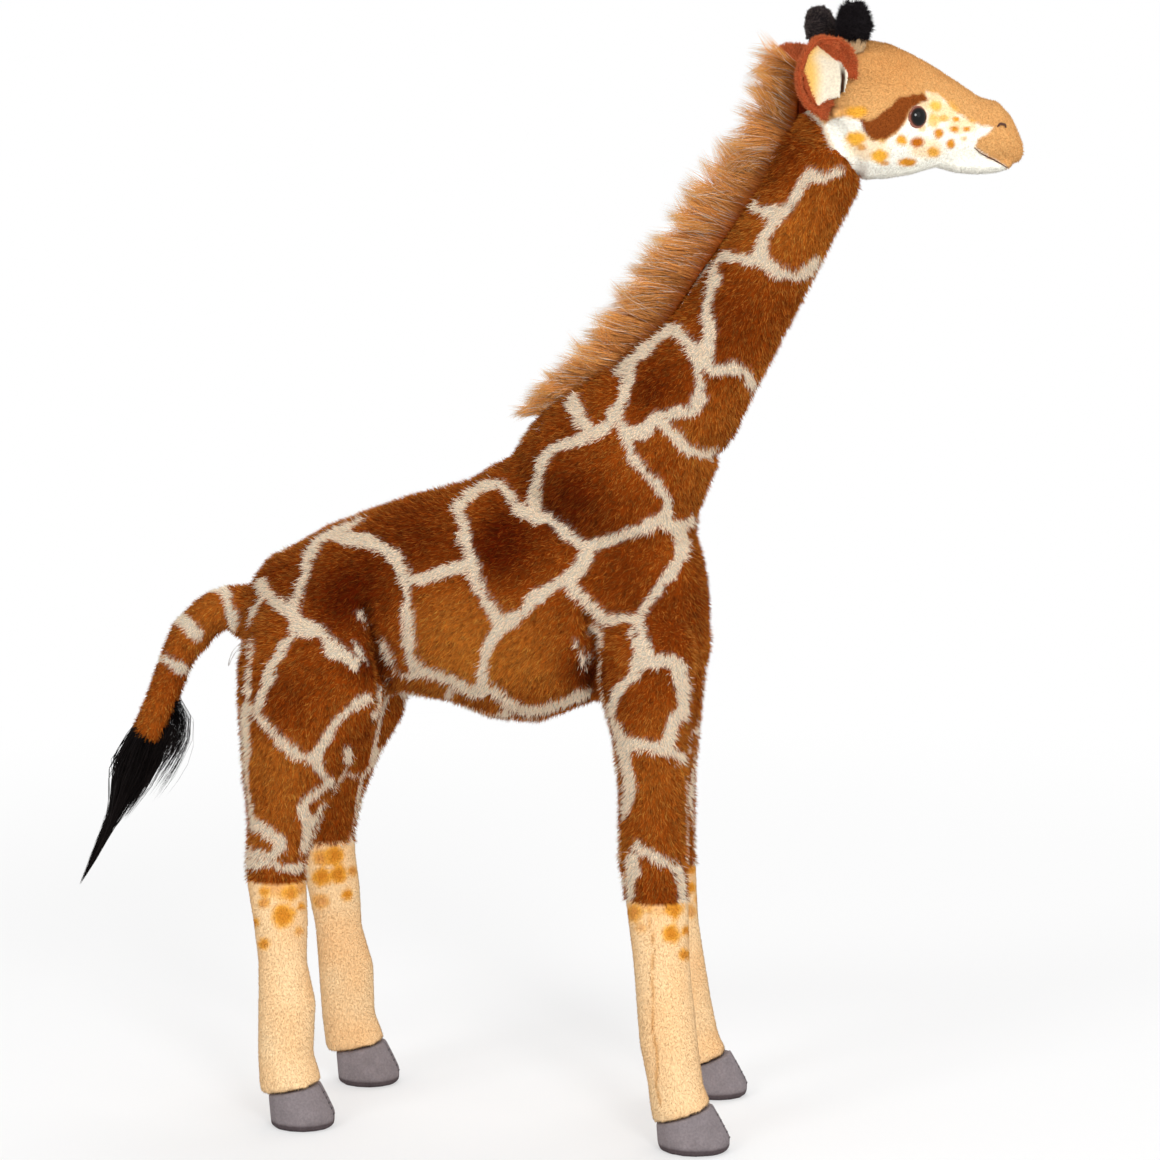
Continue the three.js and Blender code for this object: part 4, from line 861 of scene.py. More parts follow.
def scattered(points, faces, per_cm2, rng):
    """Root places spread evenly over a skin's faces: the three corners round each one, and their weights."""
    tri = np.concatenate([faces[:, [0, 1, 2]], faces[:, [0, 2, 3]]])
    a, b, c = points[tri[:, 0]], points[tri[:, 1]], points[tri[:, 2]]
    area = np.linalg.norm(np.cross(b - a, c - a), axis=1) / 2
    edge = np.cumsum(area)
    count = int(edge[-1] * 1e4 * per_cm2)
    at = np.searchsorted(edge, (np.arange(count) + rng.random(count)) / count * edge[-1])
    at = np.minimum(at, len(tri) - 1)
    u, v = rng.random((2, count))
    flip = u + v > 1
    u, v = np.where(flip, 1 - u, u), np.where(flip, 1 - v, v)
    return tri[at], np.stack([1 - u - v, u, v], 1)


def woven(field, corners, weights):
    """A field of the skin's vertices, taken at the roots."""
    if field.ndim == 1:
        return (field[corners] * weights).sum(1)
    return (field[corners] * weights[..., None]).sum(1)


def hairs(stations, thick, root_dye_and_shade, tip_dye, rng):
    """Three-sided tapering hairs through stations: points and dye, hair by hair, and one hair's faces."""
    count, length = stations.shape[:2]
    way = unit(stations[:, 1] - stations[:, 0])
    side = unit(np.cross(way, rng.normal(size=(count, 3))))
    other = np.cross(way, side)
    thick = np.broadcast_to(thick, count)[:, None]
    rings = length - 1
    points = np.empty((count, 3 * rings + 1, 3))
    dye = np.empty_like(points)
    faces = []
    for i in range(rings):
        r = thick * math.sqrt(1 - i / rings)
        for k in range(3):
            turn = 2 * math.pi * k / 3
            points[:, 3 * i + k] = stations[:, i] + r * (math.cos(turn) * side + math.sin(turn) * other)
            dye[:, 3 * i + k] = root_dye_and_shade + (tip_dye - root_dye_and_shade) * i / rings
            a, b = 3 * i + k, 3 * i + (k + 1) % 3
            faces += [(a, b, b + 3), (a, b + 3, a + 3)] if i < rings - 1 else [(a, b, 3 * rings)]
    points[:, -1], dye[:, -1] = stations[:, -1], tip_dye
    return points, dye, np.array(faces)


def leaning(
    roots, normals, comb, length, rng, lean=0.95, spread=0.28, tuft=TUFT_SIZE, tuft_pull=0.35, sunk=0.0006,
):
    """Straight hairs' two stations, from just under the skin to the tip. A larger lean lies flatter."""
    flat = unit(comb - (comb * normals).sum(1, keepdims=True) * normals)
    cell = np.floor(roots / tuft)
    pull = np.stack([hashed(cell, k) for k in (11, 12, 13)], 1) * 2 - 1
    way = unit(normals + flat * lean + pull * tuft_pull + rng.normal(size=roots.shape) * spread)
    under = (way * normals).sum(1, keepdims=True) < UPRIGHT_LEAST
    way = np.where(under, unit(way + normals * UPRIGHT_HELP), way)
    start = roots - normals * sunk
    return np.stack([start, start + way * (length + sunk)[:, None]], 1)


def mottled(roots):
    """A shade for each small tuft of the coat."""
    return (MOTTLE_LOW + MOTTLE_SPAN * hashed(np.floor(roots / MOTTLE_SIZE), 21))[:, None]


def lay_pile(name, grown, order, finish):
    """Makes hairs into as few pieces as MOST_FACES allows, and yields each."""
    points, dye, shape = grown
    number = max(1, math.ceil(len(order) * len(shape) / MOST_FACES))
    for i, group in enumerate(np.array_split(order, number)):
        faces = shape[None] + (np.arange(len(group)) * points.shape[1])[:, None, None]
        label = name if number == 1 else f"{name}_{'abcdefgh'[i]}"
        arrays = [array.reshape(-1, 3) for array in (points[group], faces, dye[group])]
        yield cloth(label, *arrays, finish)


for number, part in enumerate(PARTS):
    short = "shank" in part
    corners, weights = scattered(
        coat_points, coat_faces[face_part == number], SHORT_PER_CM2 if short else PILE_PER_CM2, rng,
    )
    roots = woven(coat_points, corners, weights)
    normals = unit(woven(coat_normals, corners, weights))
    # the neck's stump inside the head grows nothing
    grows = np.linalg.norm(roots - HEAD_PIVOT, axis=1) >= STUMP_REACH
    corners, weights, roots, normals = corners[grows], weights[grows], roots[grows], normals[grows]
    count = len(roots)
    length = (SHORT_LENGTH if short else PILE_LENGTH) * rng.uniform(*LENGTHS_VARY, count)
    length *= TAIL_SHARE if part.startswith("tail") else 1
    comb = woven(coat_comb, corners, weights)
    stations = leaning(roots, normals, comb, length, rng, **(SHORT_COMBED if short else PILE_COMBED))
    vary = rng.uniform(*DYES_VARY, (count, 1))
    if short:
        tip = shank_dye(roots, "left" if "left" in part else "right", rng.normal(size=count))
        root = tip * SHORT_ROOT_PAINTED_SHADE
        vary = mixed(1, vary, SHORT_DYES_SHARE)
    else:
        off = woven(off_cream, corners, weights) + LINE_NOISE * ripple(roots, LINE_NOISE_SIZE, 1)
        off += LINE_FINE_NOISE * ripple(roots, LINE_FINE_SIZE, 2) + rng.normal(size=count) * LINE_STRAY
        cream = (off < LINE_HALF_WIDTH + LINE_WIDTH_VARY * ripple(roots, LINE_WIDTH_SIZE, 14))[:, None]
        tone = woven(coat_tone_and_crease_shade, corners, weights)
        brown = chestnut(tone + BROWN_VARY * rng.normal(size=count))
        lit = LIT_SHARE + LIT_BY_TONE * np.clip(tone, -1, 0.3)[:, None]
        lit = rng.random((count, 1)) ** LIT_POWER * lit
        vary = vary * mottled(roots)
        vary = np.where(cream, CREAM_LEAST + CREAM_SHARE * vary, vary)
        tip = np.where(cream, CREAM, mixed(brown, CHESTNUT_TIP, lit))
        # the roots are darker than the tips as painted shade deep in the pile
        root = np.where(cream, CREAM_ROOT_SHADED, brown * PILE_ROOT_PAINTED_SHADE)
    grown = hairs(stations, SHORT_THICK if short else PILE_THICK, root * vary, tip * vary, rng)
    for piece in lay_pile(f"pile_{part}", grown, np.argsort(roots[:, 0]), plush):
        hold(piece, part)

# Mane: a strip of long, soft pile sewn into the seam down the back of the neck. It is in lengths, one for
# each stretch of the neck, and its top end is sewn to the head. The hair sweeps back into soft points.
MANE_SEAM = [
    (545, 412), (573, 392), (600, 376), (623, 360), (646, 337), (667, 313), (700, 263), (733, 217),
    (767, 167), (785, 140), (792, 112), (793, 88), (795, 62),
]
MANE_NODES = {
    "body": "mane_withers", "neck_low": "mane_neck", "neck_high": "mane_crest", "nape": "mane_crest",
}
NAPE_FROM, NAPE_TO = 0.140, 0.175
BENDS["nape"] = ("upper_neck", "head", on_neck(NAPE_FROM), on_neck(NAPE_TO))
MANE_HAIRS, MANE_LOCKS, MANE_CHUNKS = 24000, 130, 8
MANE_HALF_WIDTH, MANE_SUNK, MANE_THICK = 0.0065, 0.004, 0.00024
MANE_LENGTHS = [0.026, 0.038, 0.043, 0.043, 0.039, 0.033]
MANE_RISE = [0.06, 0.12, 0.18, 0.22, 0.32, 0.50]
MANE_OUT, MANE_FROM_NECK, MANE_LIFT, MANE_DROOP = 0.35, 0.8, (0, 0, 0.05), (0, 0, -0.10)
LOCKS_STRAY, HAIRS_STRAY, LOCK_GATHER = 0.36, 0.20, 0.78
# How far a hair has joined its lock at each of its four stations
MANE_GATHERED = np.array((0, 0.1, 0.38, 0.72))[None, :, None]
MANE_SHORTEST, MANE_SPAN, MANE_POWER = 0.42, 0.72, 1.3
MANE_VARY, LOCK_LOW, LOCK_SPAN = (0.95, 1.25), 0.88, 0.24
# The roots' dark brown is painted shade down in the mane by its seam
MANE_ROOT_SHADE, MANE_TIP, MANE_PALE = linear(132, 58, 12), linear(255, 184, 106), linear(255, 240, 214)
PALE_SHARE = 0.16


def from_picture(spots, y=0.0):
    """The points at a distance y from the toy's middle plane that the photograph shows at some pixels."""
    spots = np.atleast_2d(np.array(spots, float))
    y = np.broadcast_to(y, len(spots))
    made = np.empty((len(spots), 3))
    for i, ((px, py), out) in enumerate(zip(spots, y)):
        over = LENS_PIXELS * PICTURE_RIGHT + (px - PICTURE / 2) * PICTURE_BACK
        up = LENS_PIXELS * PICTURE_UP + (PICTURE / 2 - py) * PICTURE_BACK
        reach = np.array(((px - PICTURE / 2), (PICTURE / 2 - py))) * VIEW_DISTANCE
        rows = np.array((over, up))
        found = np.linalg.solve(rows[:, [0, 2]], reach - rows[:, 1] * out)
        made[i] = AIM[0] + found[0], out, AIM[2] + found[1]
    return made


def along(line, shares):
    """Points along a line of points, at shares of its length."""
    line = np.asarray(line, float)
    run = np.concatenate([[0], np.cumsum(np.linalg.norm(np.diff(line, axis=0), axis=1))])
    return np.stack([np.interp(shares, run / run[-1], column) for column in line.T], 1)


def listed(values, shares):
    return np.interp(shares, np.linspace(0, 1, len(values)), values)


def mane_paths(shares, stray, rng):
    """The four stations of hairs that start at shares of the seam's length."""
    out = rng.uniform(-1, 1, len(shares))
    start = along(from_picture(MANE_SEAM), shares) + MANE_SUNK * NECK_FRONT
    start[:, 1] += out * MANE_HALF_WIDTH
    sweep = np.stack([-np.ones(len(shares)), MANE_OUT * out, listed(MANE_RISE, shares)], 1)
    sweep = sweep + rng.normal(size=start.shape) * stray
    first = sweep - MANE_FROM_NECK * NECK_FRONT + MANE_LIFT
    droop = sweep + MANE_DROOP + rng.normal(size=start.shape) * stray
    step = (listed(MANE_LENGTHS, shares) / 3)[:, None]
    line = [start]
    for way in (first, sweep, droop):
        line.append(line[-1] + unit(way) * step)
    return np.stack(line, 1)


lock_shares = (np.arange(MANE_LOCKS) + rng.random(MANE_LOCKS)) / MANE_LOCKS
locks = mane_paths(lock_shares, LOCKS_STRAY, rng)
hair_shares = (np.arange(MANE_HAIRS) + rng.random(MANE_HAIRS)) / MANE_HAIRS
mane = mane_paths(hair_shares, HAIRS_STRAY, rng)
lock = np.empty(MANE_HAIRS, int)
for group in np.array_split(np.arange(MANE_HAIRS), MANE_CHUNKS):
    lock[group] = np.linalg.norm(mane[group, None, 0] - locks[None, :, 0], axis=2).argmin(1)
beside = (mane[:, :1] - locks[lock][:, :1]) * (1 - LOCK_GATHER * MANE_GATHERED)
mane = mixed(mane, locks[lock] + beside, MANE_GATHERED)
reach = MANE_SHORTEST + MANE_SPAN * rng.random((MANE_HAIRS, 1, 1)) ** MANE_POWER
mane = mane[:, :1] + (mane - mane[:, :1]) * reach
mane_vary = rng.uniform(*MANE_VARY, (MANE_HAIRS, 1))
mane_vary *= LOCK_LOW + LOCK_SPAN * hashed(lock[:, None] * np.ones(3), 4)[:, None]
mane_tips = np.where(rng.random((MANE_HAIRS, 1)) < PALE_SHARE, MANE_PALE, MANE_TIP)
grown = hairs(mane, MANE_THICK, MANE_ROOT_SHADE * mane_vary, mane_tips * mane_vary, rng)
mane_part = np.array(PARTS)[part_at(mane[:, 0])]
mane_part[along_neck(mane[:, 0]) > TURN_TO] = "nape"
for part, node in MANE_NODES.items():
    for piece in lay_pile(f"mane_{part}", grown, np.flatnonzero(mane_part == part), plush):
        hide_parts(node)
        hold(piece, part)

# Tail tuft: long black hair gathered and sewn into the end of the tail. A loose lock curls out behind it.
TUFT_LINE = [(150, 722), (140, 748), (128, 777), (119, 804), (106, 836), (94, 860), (79, 886)]
SIDE_LINE = [(162, 706), (165, 724), (164, 744), (158, 764), (148, 784), (136, 802), (124, 820)]
LOCK_LINE = [(162, 708), (170, 700), (182, 702), (190, 718), (188, 744), (176, 770), (156, 798)]
TUFT_WIDTHS = [0.50, 0.78, 0.94, 0.50, 0.18, 0.09, 0.04]
SIDE_WIDTHS = [0.22, 0.26, 0.30, 0.30, 0.26, 0.18, 0.12]
LOCK_WIDTHS = [1, 1.2, 1.5, 1.9, 2.2, 2.4, 2.2]
TUFT_HAIRS, SIDE_HAIRS, LOCK_HAIRS, TUFT_STATIONS = 3400, 900, 300, 7
TUFT_SPREAD, LOCK_SPREAD, TUFT_THICK = 0.0140, 0.0028, 0.00024
TUFT_FILL, TUFT_WAVE = 0.5, 0.07
TUFT_SHORTEST, TUFT_POWER, TUFT_VARY = 0.46, 2.2, (0.5, 1.5)
# The roots are darker than the tips as painted shade inside the tuft
TUFT_ROOT_SHADE, TUFT_TIP = linear(14, 11, 11), linear(34, 28, 27)
SOFT_SHINE = 0.45


def bundle(line, widths, spread, count, rng):
    """Hairs that follow a line in the photograph and spread about it."""
    shares = np.linspace(0, 1, TUFT_STATIONS)
    middle = along(from_picture(line), shares)
    ring = rng.normal(size=(count, 3)) * TUFT_FILL
    ring = ring / np.maximum(np.linalg.norm(ring, axis=1, keepdims=True), 1)
    wave = np.cumsum(rng.normal(size=(count, TUFT_STATIONS, 3)) * TUFT_WAVE, axis=1)
    wave[:, 0] = 0
    wide = listed(widths, shares)[None, :, None]
    made = middle[None] + (ring[:, None] + wave) * wide * spread
    reach = mixed(TUFT_SHORTEST, 1, rng.random((count, 1, 1)) ** TUFT_POWER)
    return made[:, :1] + (made - made[:, :1]) * reach


tuft = np.concatenate([
    bundle(TUFT_LINE, TUFT_WIDTHS, TUFT_SPREAD, TUFT_HAIRS, rng),
    bundle(SIDE_LINE, SIDE_WIDTHS, TUFT_SPREAD, SIDE_HAIRS, rng),
    bundle(LOCK_LINE, LOCK_WIDTHS, LOCK_SPREAD, LOCK_HAIRS, rng),
])
tuft_vary = rng.uniform(*TUFT_VARY, (len(tuft), 1))
grown = hairs(tuft, TUFT_THICK, TUFT_ROOT_SHADE * tuft_vary, TUFT_TIP * tuft_vary, rng)
black_hair = dyed_cloth("black_hair", SOFT_SHINE)
for piece in lay_pile("tail_tuft_hair", grown, np.arange(len(tuft)), black_hair):
    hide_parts("tail_tuft")
    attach(piece, "lower_tail")

# Head: short, clipped pile over firm stuffing, with a white jaw, air-brushed spots and a brown stripe over
# the eye. Both sides have the same markings. The back of it, under the ears, is chestnut like the neck.
HEAD_TURN = math.radians(16)
HEAD_BACK = np.array((-math.cos(HEAD_TURN), -math.sin(HEAD_TURN), 0))
HEAD_LEFT = np.array((-math.sin(HEAD_TURN), math.cos(HEAD_TURN), 0))
HEAD_VOXEL, HEAD_SMOOTHING, HEAD_ROOM = 0.0015, 5, 0.0007
HEAD_PER_CM2, HEAD_PILE, HEAD_THICK = 190, 0.0017, 0.00022
HEAD_COMB = HEAD_BACK - (0, 0, 0.25)
HEAD_COMBED = dict(lean=1.1, spread=0.2, tuft=0.0035, tuft_pull=0.25, sunk=0.0004)
HEAD_LENGTHS_VARY, HEAD_DYES_VARY = (0.7, 1.15), (0.94, 1.05)
HEAD_STRAY = 0.5
JAW = [
    (824, 124), (836, 118), (850, 116), (864, 122), (870, 140), (884, 142), (896, 134), (905, 124),
    (912, 108), (922, 101), (926, 92), (938, 93), (948, 104), (958, 114), (970, 121), (982, 126), (993, 127),
    (988, 134), (978, 139), (975, 147), (982, 153), (992, 159), (1002, 165), (1012, 169), (1040, 170),
    (1040, 220), (850, 220), (861, 188), (850, 170), (836, 152),
]
STRIPE = [
    (859, 119), (868, 121), (877, 117), (890, 107), (899, 98), (914, 94), (925, 94), (929, 100), (919, 104),
    (910, 110), (905, 121), (898, 131), (886, 139), (874, 141), (866, 134),
]
NAPE = [
    (700, 60), (796, 100), (812, 112), (824, 124), (836, 152), (850, 170), (863, 190), (863, 240), (700, 240),
]
# Air-brushed spots on the jaw: pixel, pixel, reach across, reach down, strength, darkness
HEAD_SPOTS = [
    (930, 101, 17, 10, 0.5, 0.1), (944, 112, 18, 12, 0.5, 0), (962, 126, 18, 9, 0.45, 0),
    (926, 148, 20, 11, 0.4, 0), (868, 146, 24, 16, 0.35, 0), (854, 112, 15, 8, 0.35, 0.3),
    (856, 139, 11, 9, 1, 0.15), (862, 147, 6, 4, 0.81, 0.5), (880, 156, 10, 8, 1, 0.15),
    (885, 163, 5, 3, 0.81, 0.6), (908, 162, 11, 5, 1, 0.55), (917, 142, 9, 6, 1, 0.9),
    (902, 140, 7, 6, 1, 0.3), (939, 133, 6, 6, 1, 0.6), (934, 152, 8, 6, 0.94, 0.3), (951, 144, 5, 6, 1, 0.6),
    (955, 129, 5, 4, 1, 0.55), (967, 129, 4, 3, 1, 0.6), (956, 119, 4, 3, 1, 0.5),
    (944, 118, 6, 4, 0.74, 0.2), (934, 121, 7, 8, 0.74, 0), (936, 106, 7, 6, 0.81, 0),
    (857, 112, 12, 6, 1, 0.25), (964, 138, 4, 3, 0.54, 0.2), (922, 128, 5, 4, 0.54, 0.1),
]
TAN, TAN_DEEP, JAW_WHITE = linear(224, 174, 112), linear(208, 142, 76), linear(255, 252, 240)
STRIPE_BROWN, SPOT_YELLOW, SPOT_BROWN = linear(140, 72, 28), linear(255, 196, 72), linear(194, 102, 24)
RAGGED, RAGGED_SIZE = 1.2, 0.003
TAN_SHARE, TAN_SIZE = 0.35, 0.02
# The crown is deeper in colour: pixel, pixel, reach across and down
CROWN = (905, 55, 55, 40)
JAW_SOFT, STRIPE_SOFT = 1.8, 1.5
HEAD_SPOT_EDGE, HEAD_SPOT_NOISE = (1.15, 0.55), 0.12
# The nape's pile is like the coat's: longer, with pale tips, and thicker than the head's
NAPE_TONE, NAPE_FUR = np.array([-0.05]), (-2, 6)
NAPE_LENGTH, NAPE_LIT, NAPE_THICK = 0.9, 0.7, 0.5
# A cream line borders the nape, below a row of the photograph
NAPE_LINE, NAPE_LINE_HALF, NAPE_LINE_BELOW, NAPE_CREAM = 1, 2, 104, 0.85
# How much of its tip's colour a hair's root keeps, darkened as painted shade deep in the pile
HEAD_ROOT_PAINTED_SHADE, NAPE_ROOT_PAINTED_SHADE = 0.97, 0.36


def head_near(points):
    """Moves the head's far side onto its near side."""
    out = (points - HEAD_PIVOT) @ HEAD_LEFT
    return points - np.where(out > 0, 2 * out, 0)[:, None] * HEAD_LEFT


def inside(spots, outline):
    """How far inside an outline each spot lies, in pixels, and below 0 outside it."""
    closed = [*outline, outline[0]]
    held = np.zeros(len(spots), bool)
    for (ax, ay), (bx, by) in zip(closed[:-1], closed[1:]):
        if ay != by:
            crosses = (ay > spots[:, 1]) != (by > spots[:, 1])
            held ^= crosses & (spots[:, 0] < ax + (spots[:, 1] - ay) * (bx - ax) / (by - ay))
    gap = off_lines(spots, [closed])
    return np.where(held, gap, -gap)


def head_dye(points, stray=0.0):
    """The colour of the head's pile, and how far inside the nape it lies, in pixels."""
    spots = in_picture(head_near(points))
    ragged = RAGGED * ripple(points, RAGGED_SIZE, 8) + stray
    deep = np.clip(0.5 + 0.5 * ripple(points, TAN_SIZE, 9), 0, 1)
    crown = np.exp(-((spots[:, 0] - CROWN[0]) / CROWN[2]) ** 2 - ((spots[:, 1] - CROWN[1]) / CROWN[3]) ** 2)
    colour = mixed(TAN, TAN_DEEP, TAN_SHARE * (deep + crown)[:, None])
    colour = mixed(colour, JAW_WHITE, eased(-JAW_SOFT, JAW_SOFT, inside(spots, JAW) + ragged)[:, None])
    for px, py, wide, high, amount, dark in HEAD_SPOTS:
        gap = np.hypot((spots[:, 0] - px) / wide, (spots[:, 1] - py) / high) + HEAD_SPOT_NOISE * ragged
        ink = amount * eased(*HEAD_SPOT_EDGE, gap)[:, None]
        colour = mixed(colour, mixed(SPOT_YELLOW, SPOT_BROWN, dark), ink)
    stripe = eased(-STRIPE_SOFT, STRIPE_SOFT, inside(spots, STRIPE) + ragged)[:, None]
    colour = mixed(colour, STRIPE_BROWN, stripe)
    nape = inside(spots, NAPE) + ragged
    colour = np.where((nape > 0)[:, None], chestnut(NAPE_TONE), colour)
    border = (np.abs(nape - NAPE_LINE) < NAPE_LINE_HALF) & (spots[:, 1] > NAPE_LINE_BELOW)
    return np.where(border[:, None], CREAM * NAPE_CREAM, colour), nape


def planted(points, normals, faces, per_cm2, rng):
    """Hair roots all over a skin, and the way that the skin faces at each."""
    corners, weights = scattered(points, faces, per_cm2, rng)
    return woven(points, corners, weights), unit(woven(normals, corners, weights))


head_points, head_faces = sewn(["head", "lower_lip", "head_wire"], [], HEAD_VOXEL, HEAD_SMOOTHING)
head_points -= normals_of(head_points, head_faces) * HEAD_ROOM
head_normals = normals_of(head_points, head_faces)
head_skin = cloth("head_skin", head_points, head_faces, head_dye(head_points)[0], plush)
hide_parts("head", "lower_lip")
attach(head_skin, "head")
roots, normals = planted(head_points, head_normals, head_faces, HEAD_PER_CM2, rng)
count = len(roots)
tip, nape = head_dye(roots, HEAD_STRAY * rng.normal(size=count))
furry = eased(*NAPE_FUR, nape)
length = HEAD_PILE + (PILE_LENGTH - HEAD_PILE) * NAPE_LENGTH * furry
length = length * rng.uniform(*HEAD_LENGTHS_VARY, count)
stations = leaning(roots, normals, HEAD_COMB, length, rng, **HEAD_COMBED)
thick = HEAD_THICK * (1 + NAPE_THICK * furry)
furry = furry[:, None]
tip = mixed(tip, CHESTNUT_TIP, rng.random((count, 1)) ** LIT_POWER * NAPE_LIT * furry)
vary = rng.uniform(*HEAD_DYES_VARY, (count, 1)) * mixed(1, mottled(roots), furry)
root = tip * mixed(HEAD_ROOT_PAINTED_SHADE, NAPE_ROOT_PAINTED_SHADE, furry)
grown = hairs(stations, thick, root * vary, tip * vary, rng)
for piece in lay_pile("head_pile", grown, np.argsort(roots[:, 0]), plush):
    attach(piece, "head")

# Mouth and nostrils: stitched through the skin of the head in dark brown thread, and pulled a little into
# the pile
MOUTH = [(974, 147), (980, 152), (988, 157), (996, 162), (1004, 166), (1013, 168), (1021, 166)]
NOSTRIL = [(997, 127), (1000, 124), (1004, 125), (1005, 128)]
# The line of each stitching, how thick its thread is and how far it stands off the skin
THREADS = {"mouth": (MOUTH, 0.00042, 0.0009), "nostril": (NOSTRIL, 0.0008, 0.0012)}
THREAD_STEPS, THREAD_SIDES, THREAD_END = 28, 8, 0.25


def head_surface(spots, out):
    """The points of the head's skin that the photograph shows at some pixels, raised by out."""
    skin = BVHTree.FromPolygons(head_points.tolist(), head_faces.tolist())
    eye = np.array(AIM) + PICTURE_BACK * VIEW_DISTANCE
    found = []
    for px, py in spots:
        way = PICTURE_RIGHT * (px - PICTURE / 2) + PICTURE_UP * (PICTURE / 2 - py)
        way = Vector(way - PICTURE_BACK * LENS_PIXELS).normalized()
        hit, normal, _, _ = skin.ray_cast(Vector(eye), way)
        if hit is not None:
            found.append(np.array(hit + normal * out))
    return np.array(found)


def cord(name, line, thick, finish):
    """A round thread along a line of points, slimmer towards its two closed ends."""
    way = unit(np.gradient(line, axis=0))
    side = unit(np.cross(way, (0.1, 0.2, 1)))
    other = np.cross(way, side)
    turn = (np.arange(THREAD_SIDES) * 2 * math.pi / THREAD_SIDES)[None, :, None]
    slim = np.sin(np.linspace(THREAD_END, math.pi - THREAD_END, len(line))) ** 0.5 * thick
    round_it = np.cos(turn) * side[:, None] + np.sin(turn) * other[:, None]
    rings = line[:, None] + slim[:, None, None] * round_it
    ring = list(range(THREAD_SIDES))
    last = (len(line) - 1) * THREAD_SIDES
    faces = []
    for start in range(0, last, THREAD_SIDES):
        for k in ring:
            n = (k + 1) % THREAD_SIDES
            faces.append((start + k, start + n, start + THREAD_SIDES + n, start + THREAD_SIDES + k))
    mesh = bpy.data.meshes.new(name)
    mesh.from_pydata(rings.reshape(-1, 3).tolist(), [], [*faces, ring[::-1], [last + k for k in ring]])
    mesh.materials.append(finish)
    mesh.shade_smooth()
    return put(name, mesh)


def to_far_side(points):
    out = (points - HEAD_PIVOT) @ HEAD_LEFT
    return points - 2 * out[:, None] * HEAD_LEFT


thread = grained("sewing_thread", 0.7, (84, 48, 28), 0.25, 1500, depth=0.0001)
for name, (line, thick, out) in THREADS.items():
    seen = head_surface(along(line, np.linspace(0, 1, THREAD_STEPS)), out)
    for hand, path in (("right", seen), ("left", to_far_side(seen))):
        stitched = cord(f"{name}_{hand}", path, thick, thread)
        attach(stitched, "head")

# Eyes: glossy moulded safety eyes, black with a brown rim. Each is pushed through the head's skin and held by
# a washer inside it.
EYE_SIZE, EYE_DEPTH, EYE_NARROW = 0.0070, 0.0046, 0.93
EYE_SUNK, EYE_EDGE = 0.0009, 0.0025
EYE_AHEAD, EYE_OUT = 0.242, 0.970
EYE_RINGS, EYE_SIDES = 28, 48
# The dye from the middle of the eye, 0, to its edge, 1
EYE_COLOURS = [
    (0, (5, 4, 4)), (0.66, (7, 5, 5)), (0.74, (44, 20, 12)), (0.80, (84, 42, 28)), (0.87, (158, 98, 84)),
    (1.0, (120, 70, 58)),
]
EYE_ROUGHNESS, EYE_SHINE, EYE_FLECKS, FLECK_SHARE = 0.02, 0.25, 900, 0.15
eye_gloss, tree, shader = finish_of("eye_gloss", EYE_ROUGHNESS)
shader.inputs["Specular IOR Level"].default_value = EYE_SHINE
dyed_under(tree, shader, fine_noise(tree, EYE_FLECKS).outputs["Color"], "OVERLAY", FLECK_SHARE)


def ball_of(rings, sides):
    """The points and triangles of a unit ball, with its poles on Z."""
    rise = np.linspace(-1, 1, rings + 1)[1:-1] * math.pi / 2
    turn = np.arange(sides) * 2 * math.pi / sides
    body = np.stack(np.broadcast_arrays(
        np.cos(rise)[:, None] * np.cos(turn), np.cos(rise)[:, None] * np.sin(turn), np.sin(rise)[:, None],
    ), 2).reshape(-1, 3)
    points = np.concatenate([body, [(0, 0, -1), (0, 0, 1)]])
    low, high = len(body), len(body) + 1
    top = (rings - 2) * sides
    faces = []
    for k in range(sides):
        n = (k + 1) % sides
        faces += [(low, n, k), (high, top + k, top + n)]
        for a in range(0, top, sides):
            b = a + sides
            faces += [(a + k, a + n, b + n), (a + k, b + n, b + k)]
    return points, np.array(faces)


unit_ball, ball_faces = ball_of(EYE_RINGS, EYE_SIDES)
stops = [stop for stop, _ in EYE_COLOURS]
shades = np.array([linear(*colour) for _, colour in EYE_COLOURS])
radial = np.hypot(unit_ball[:, 0], unit_ball[:, 1])
eye_dye = np.stack([np.interp(radial, stops, column) for column in shades.T], 1)
for hand, sign in (("left", 1), ("right", -1)):
    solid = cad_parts[f"eye_{hand}"].data
    eye_points = np.empty(len(solid.vertices) * 3, np.float32)
    solid.vertices.foreach_get("co", eye_points)
    eye_points = eye_points.reshape(-1, 3)
    out = unit(EYE_OUT * sign * HEAD_LEFT - EYE_AHEAD * HEAD_BACK)
    reach = eye_points @ out
    tip_of = eye_points[reach.argmax()]
    face = eye_points[reach > reach.max() - EYE_EDGE].mean(0)
    centre = face - out * ((face - tip_of) @ out) - out * (EYE_DEPTH - EYE_SUNK)
    upward = unit(np.array((0, 0, 1.0)) - out[2] * out)
    over = np.cross(upward, out)
    local = unit_ball * (EYE_SIZE * EYE_NARROW, EYE_SIZE, EYE_DEPTH)
    placed = centre + local[:, :1] * over + local[:, 1:2] * upward + local[:, 2:] * out
    dome = cloth(f"eye_dome_{hand}", placed, ball_faces, eye_dye, eye_gloss)
    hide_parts(f"eye_{hand}")
    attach(dome, "head")

# Ears: rust-brown plush leaves, cupped, with a smooth satin lining that folds over a deep slit. Each one is
# sewn into the head's seam by its foot.
EAR_VOXEL, EAR_SMOOTHING, EAR_FOOT = 0.0012, 3, 0.006
EAR_PILE, EAR_PER_CM2, EAR_THICK = 0.0026, 230, 0.00026
EAR_COMBED = dict(lean=0.6, spread=0.3, sunk=0.0004)
EAR_LENGTHS_VARY, EAR_DYES_VARY = (0.7, 1.15), (0.75, 1.2)
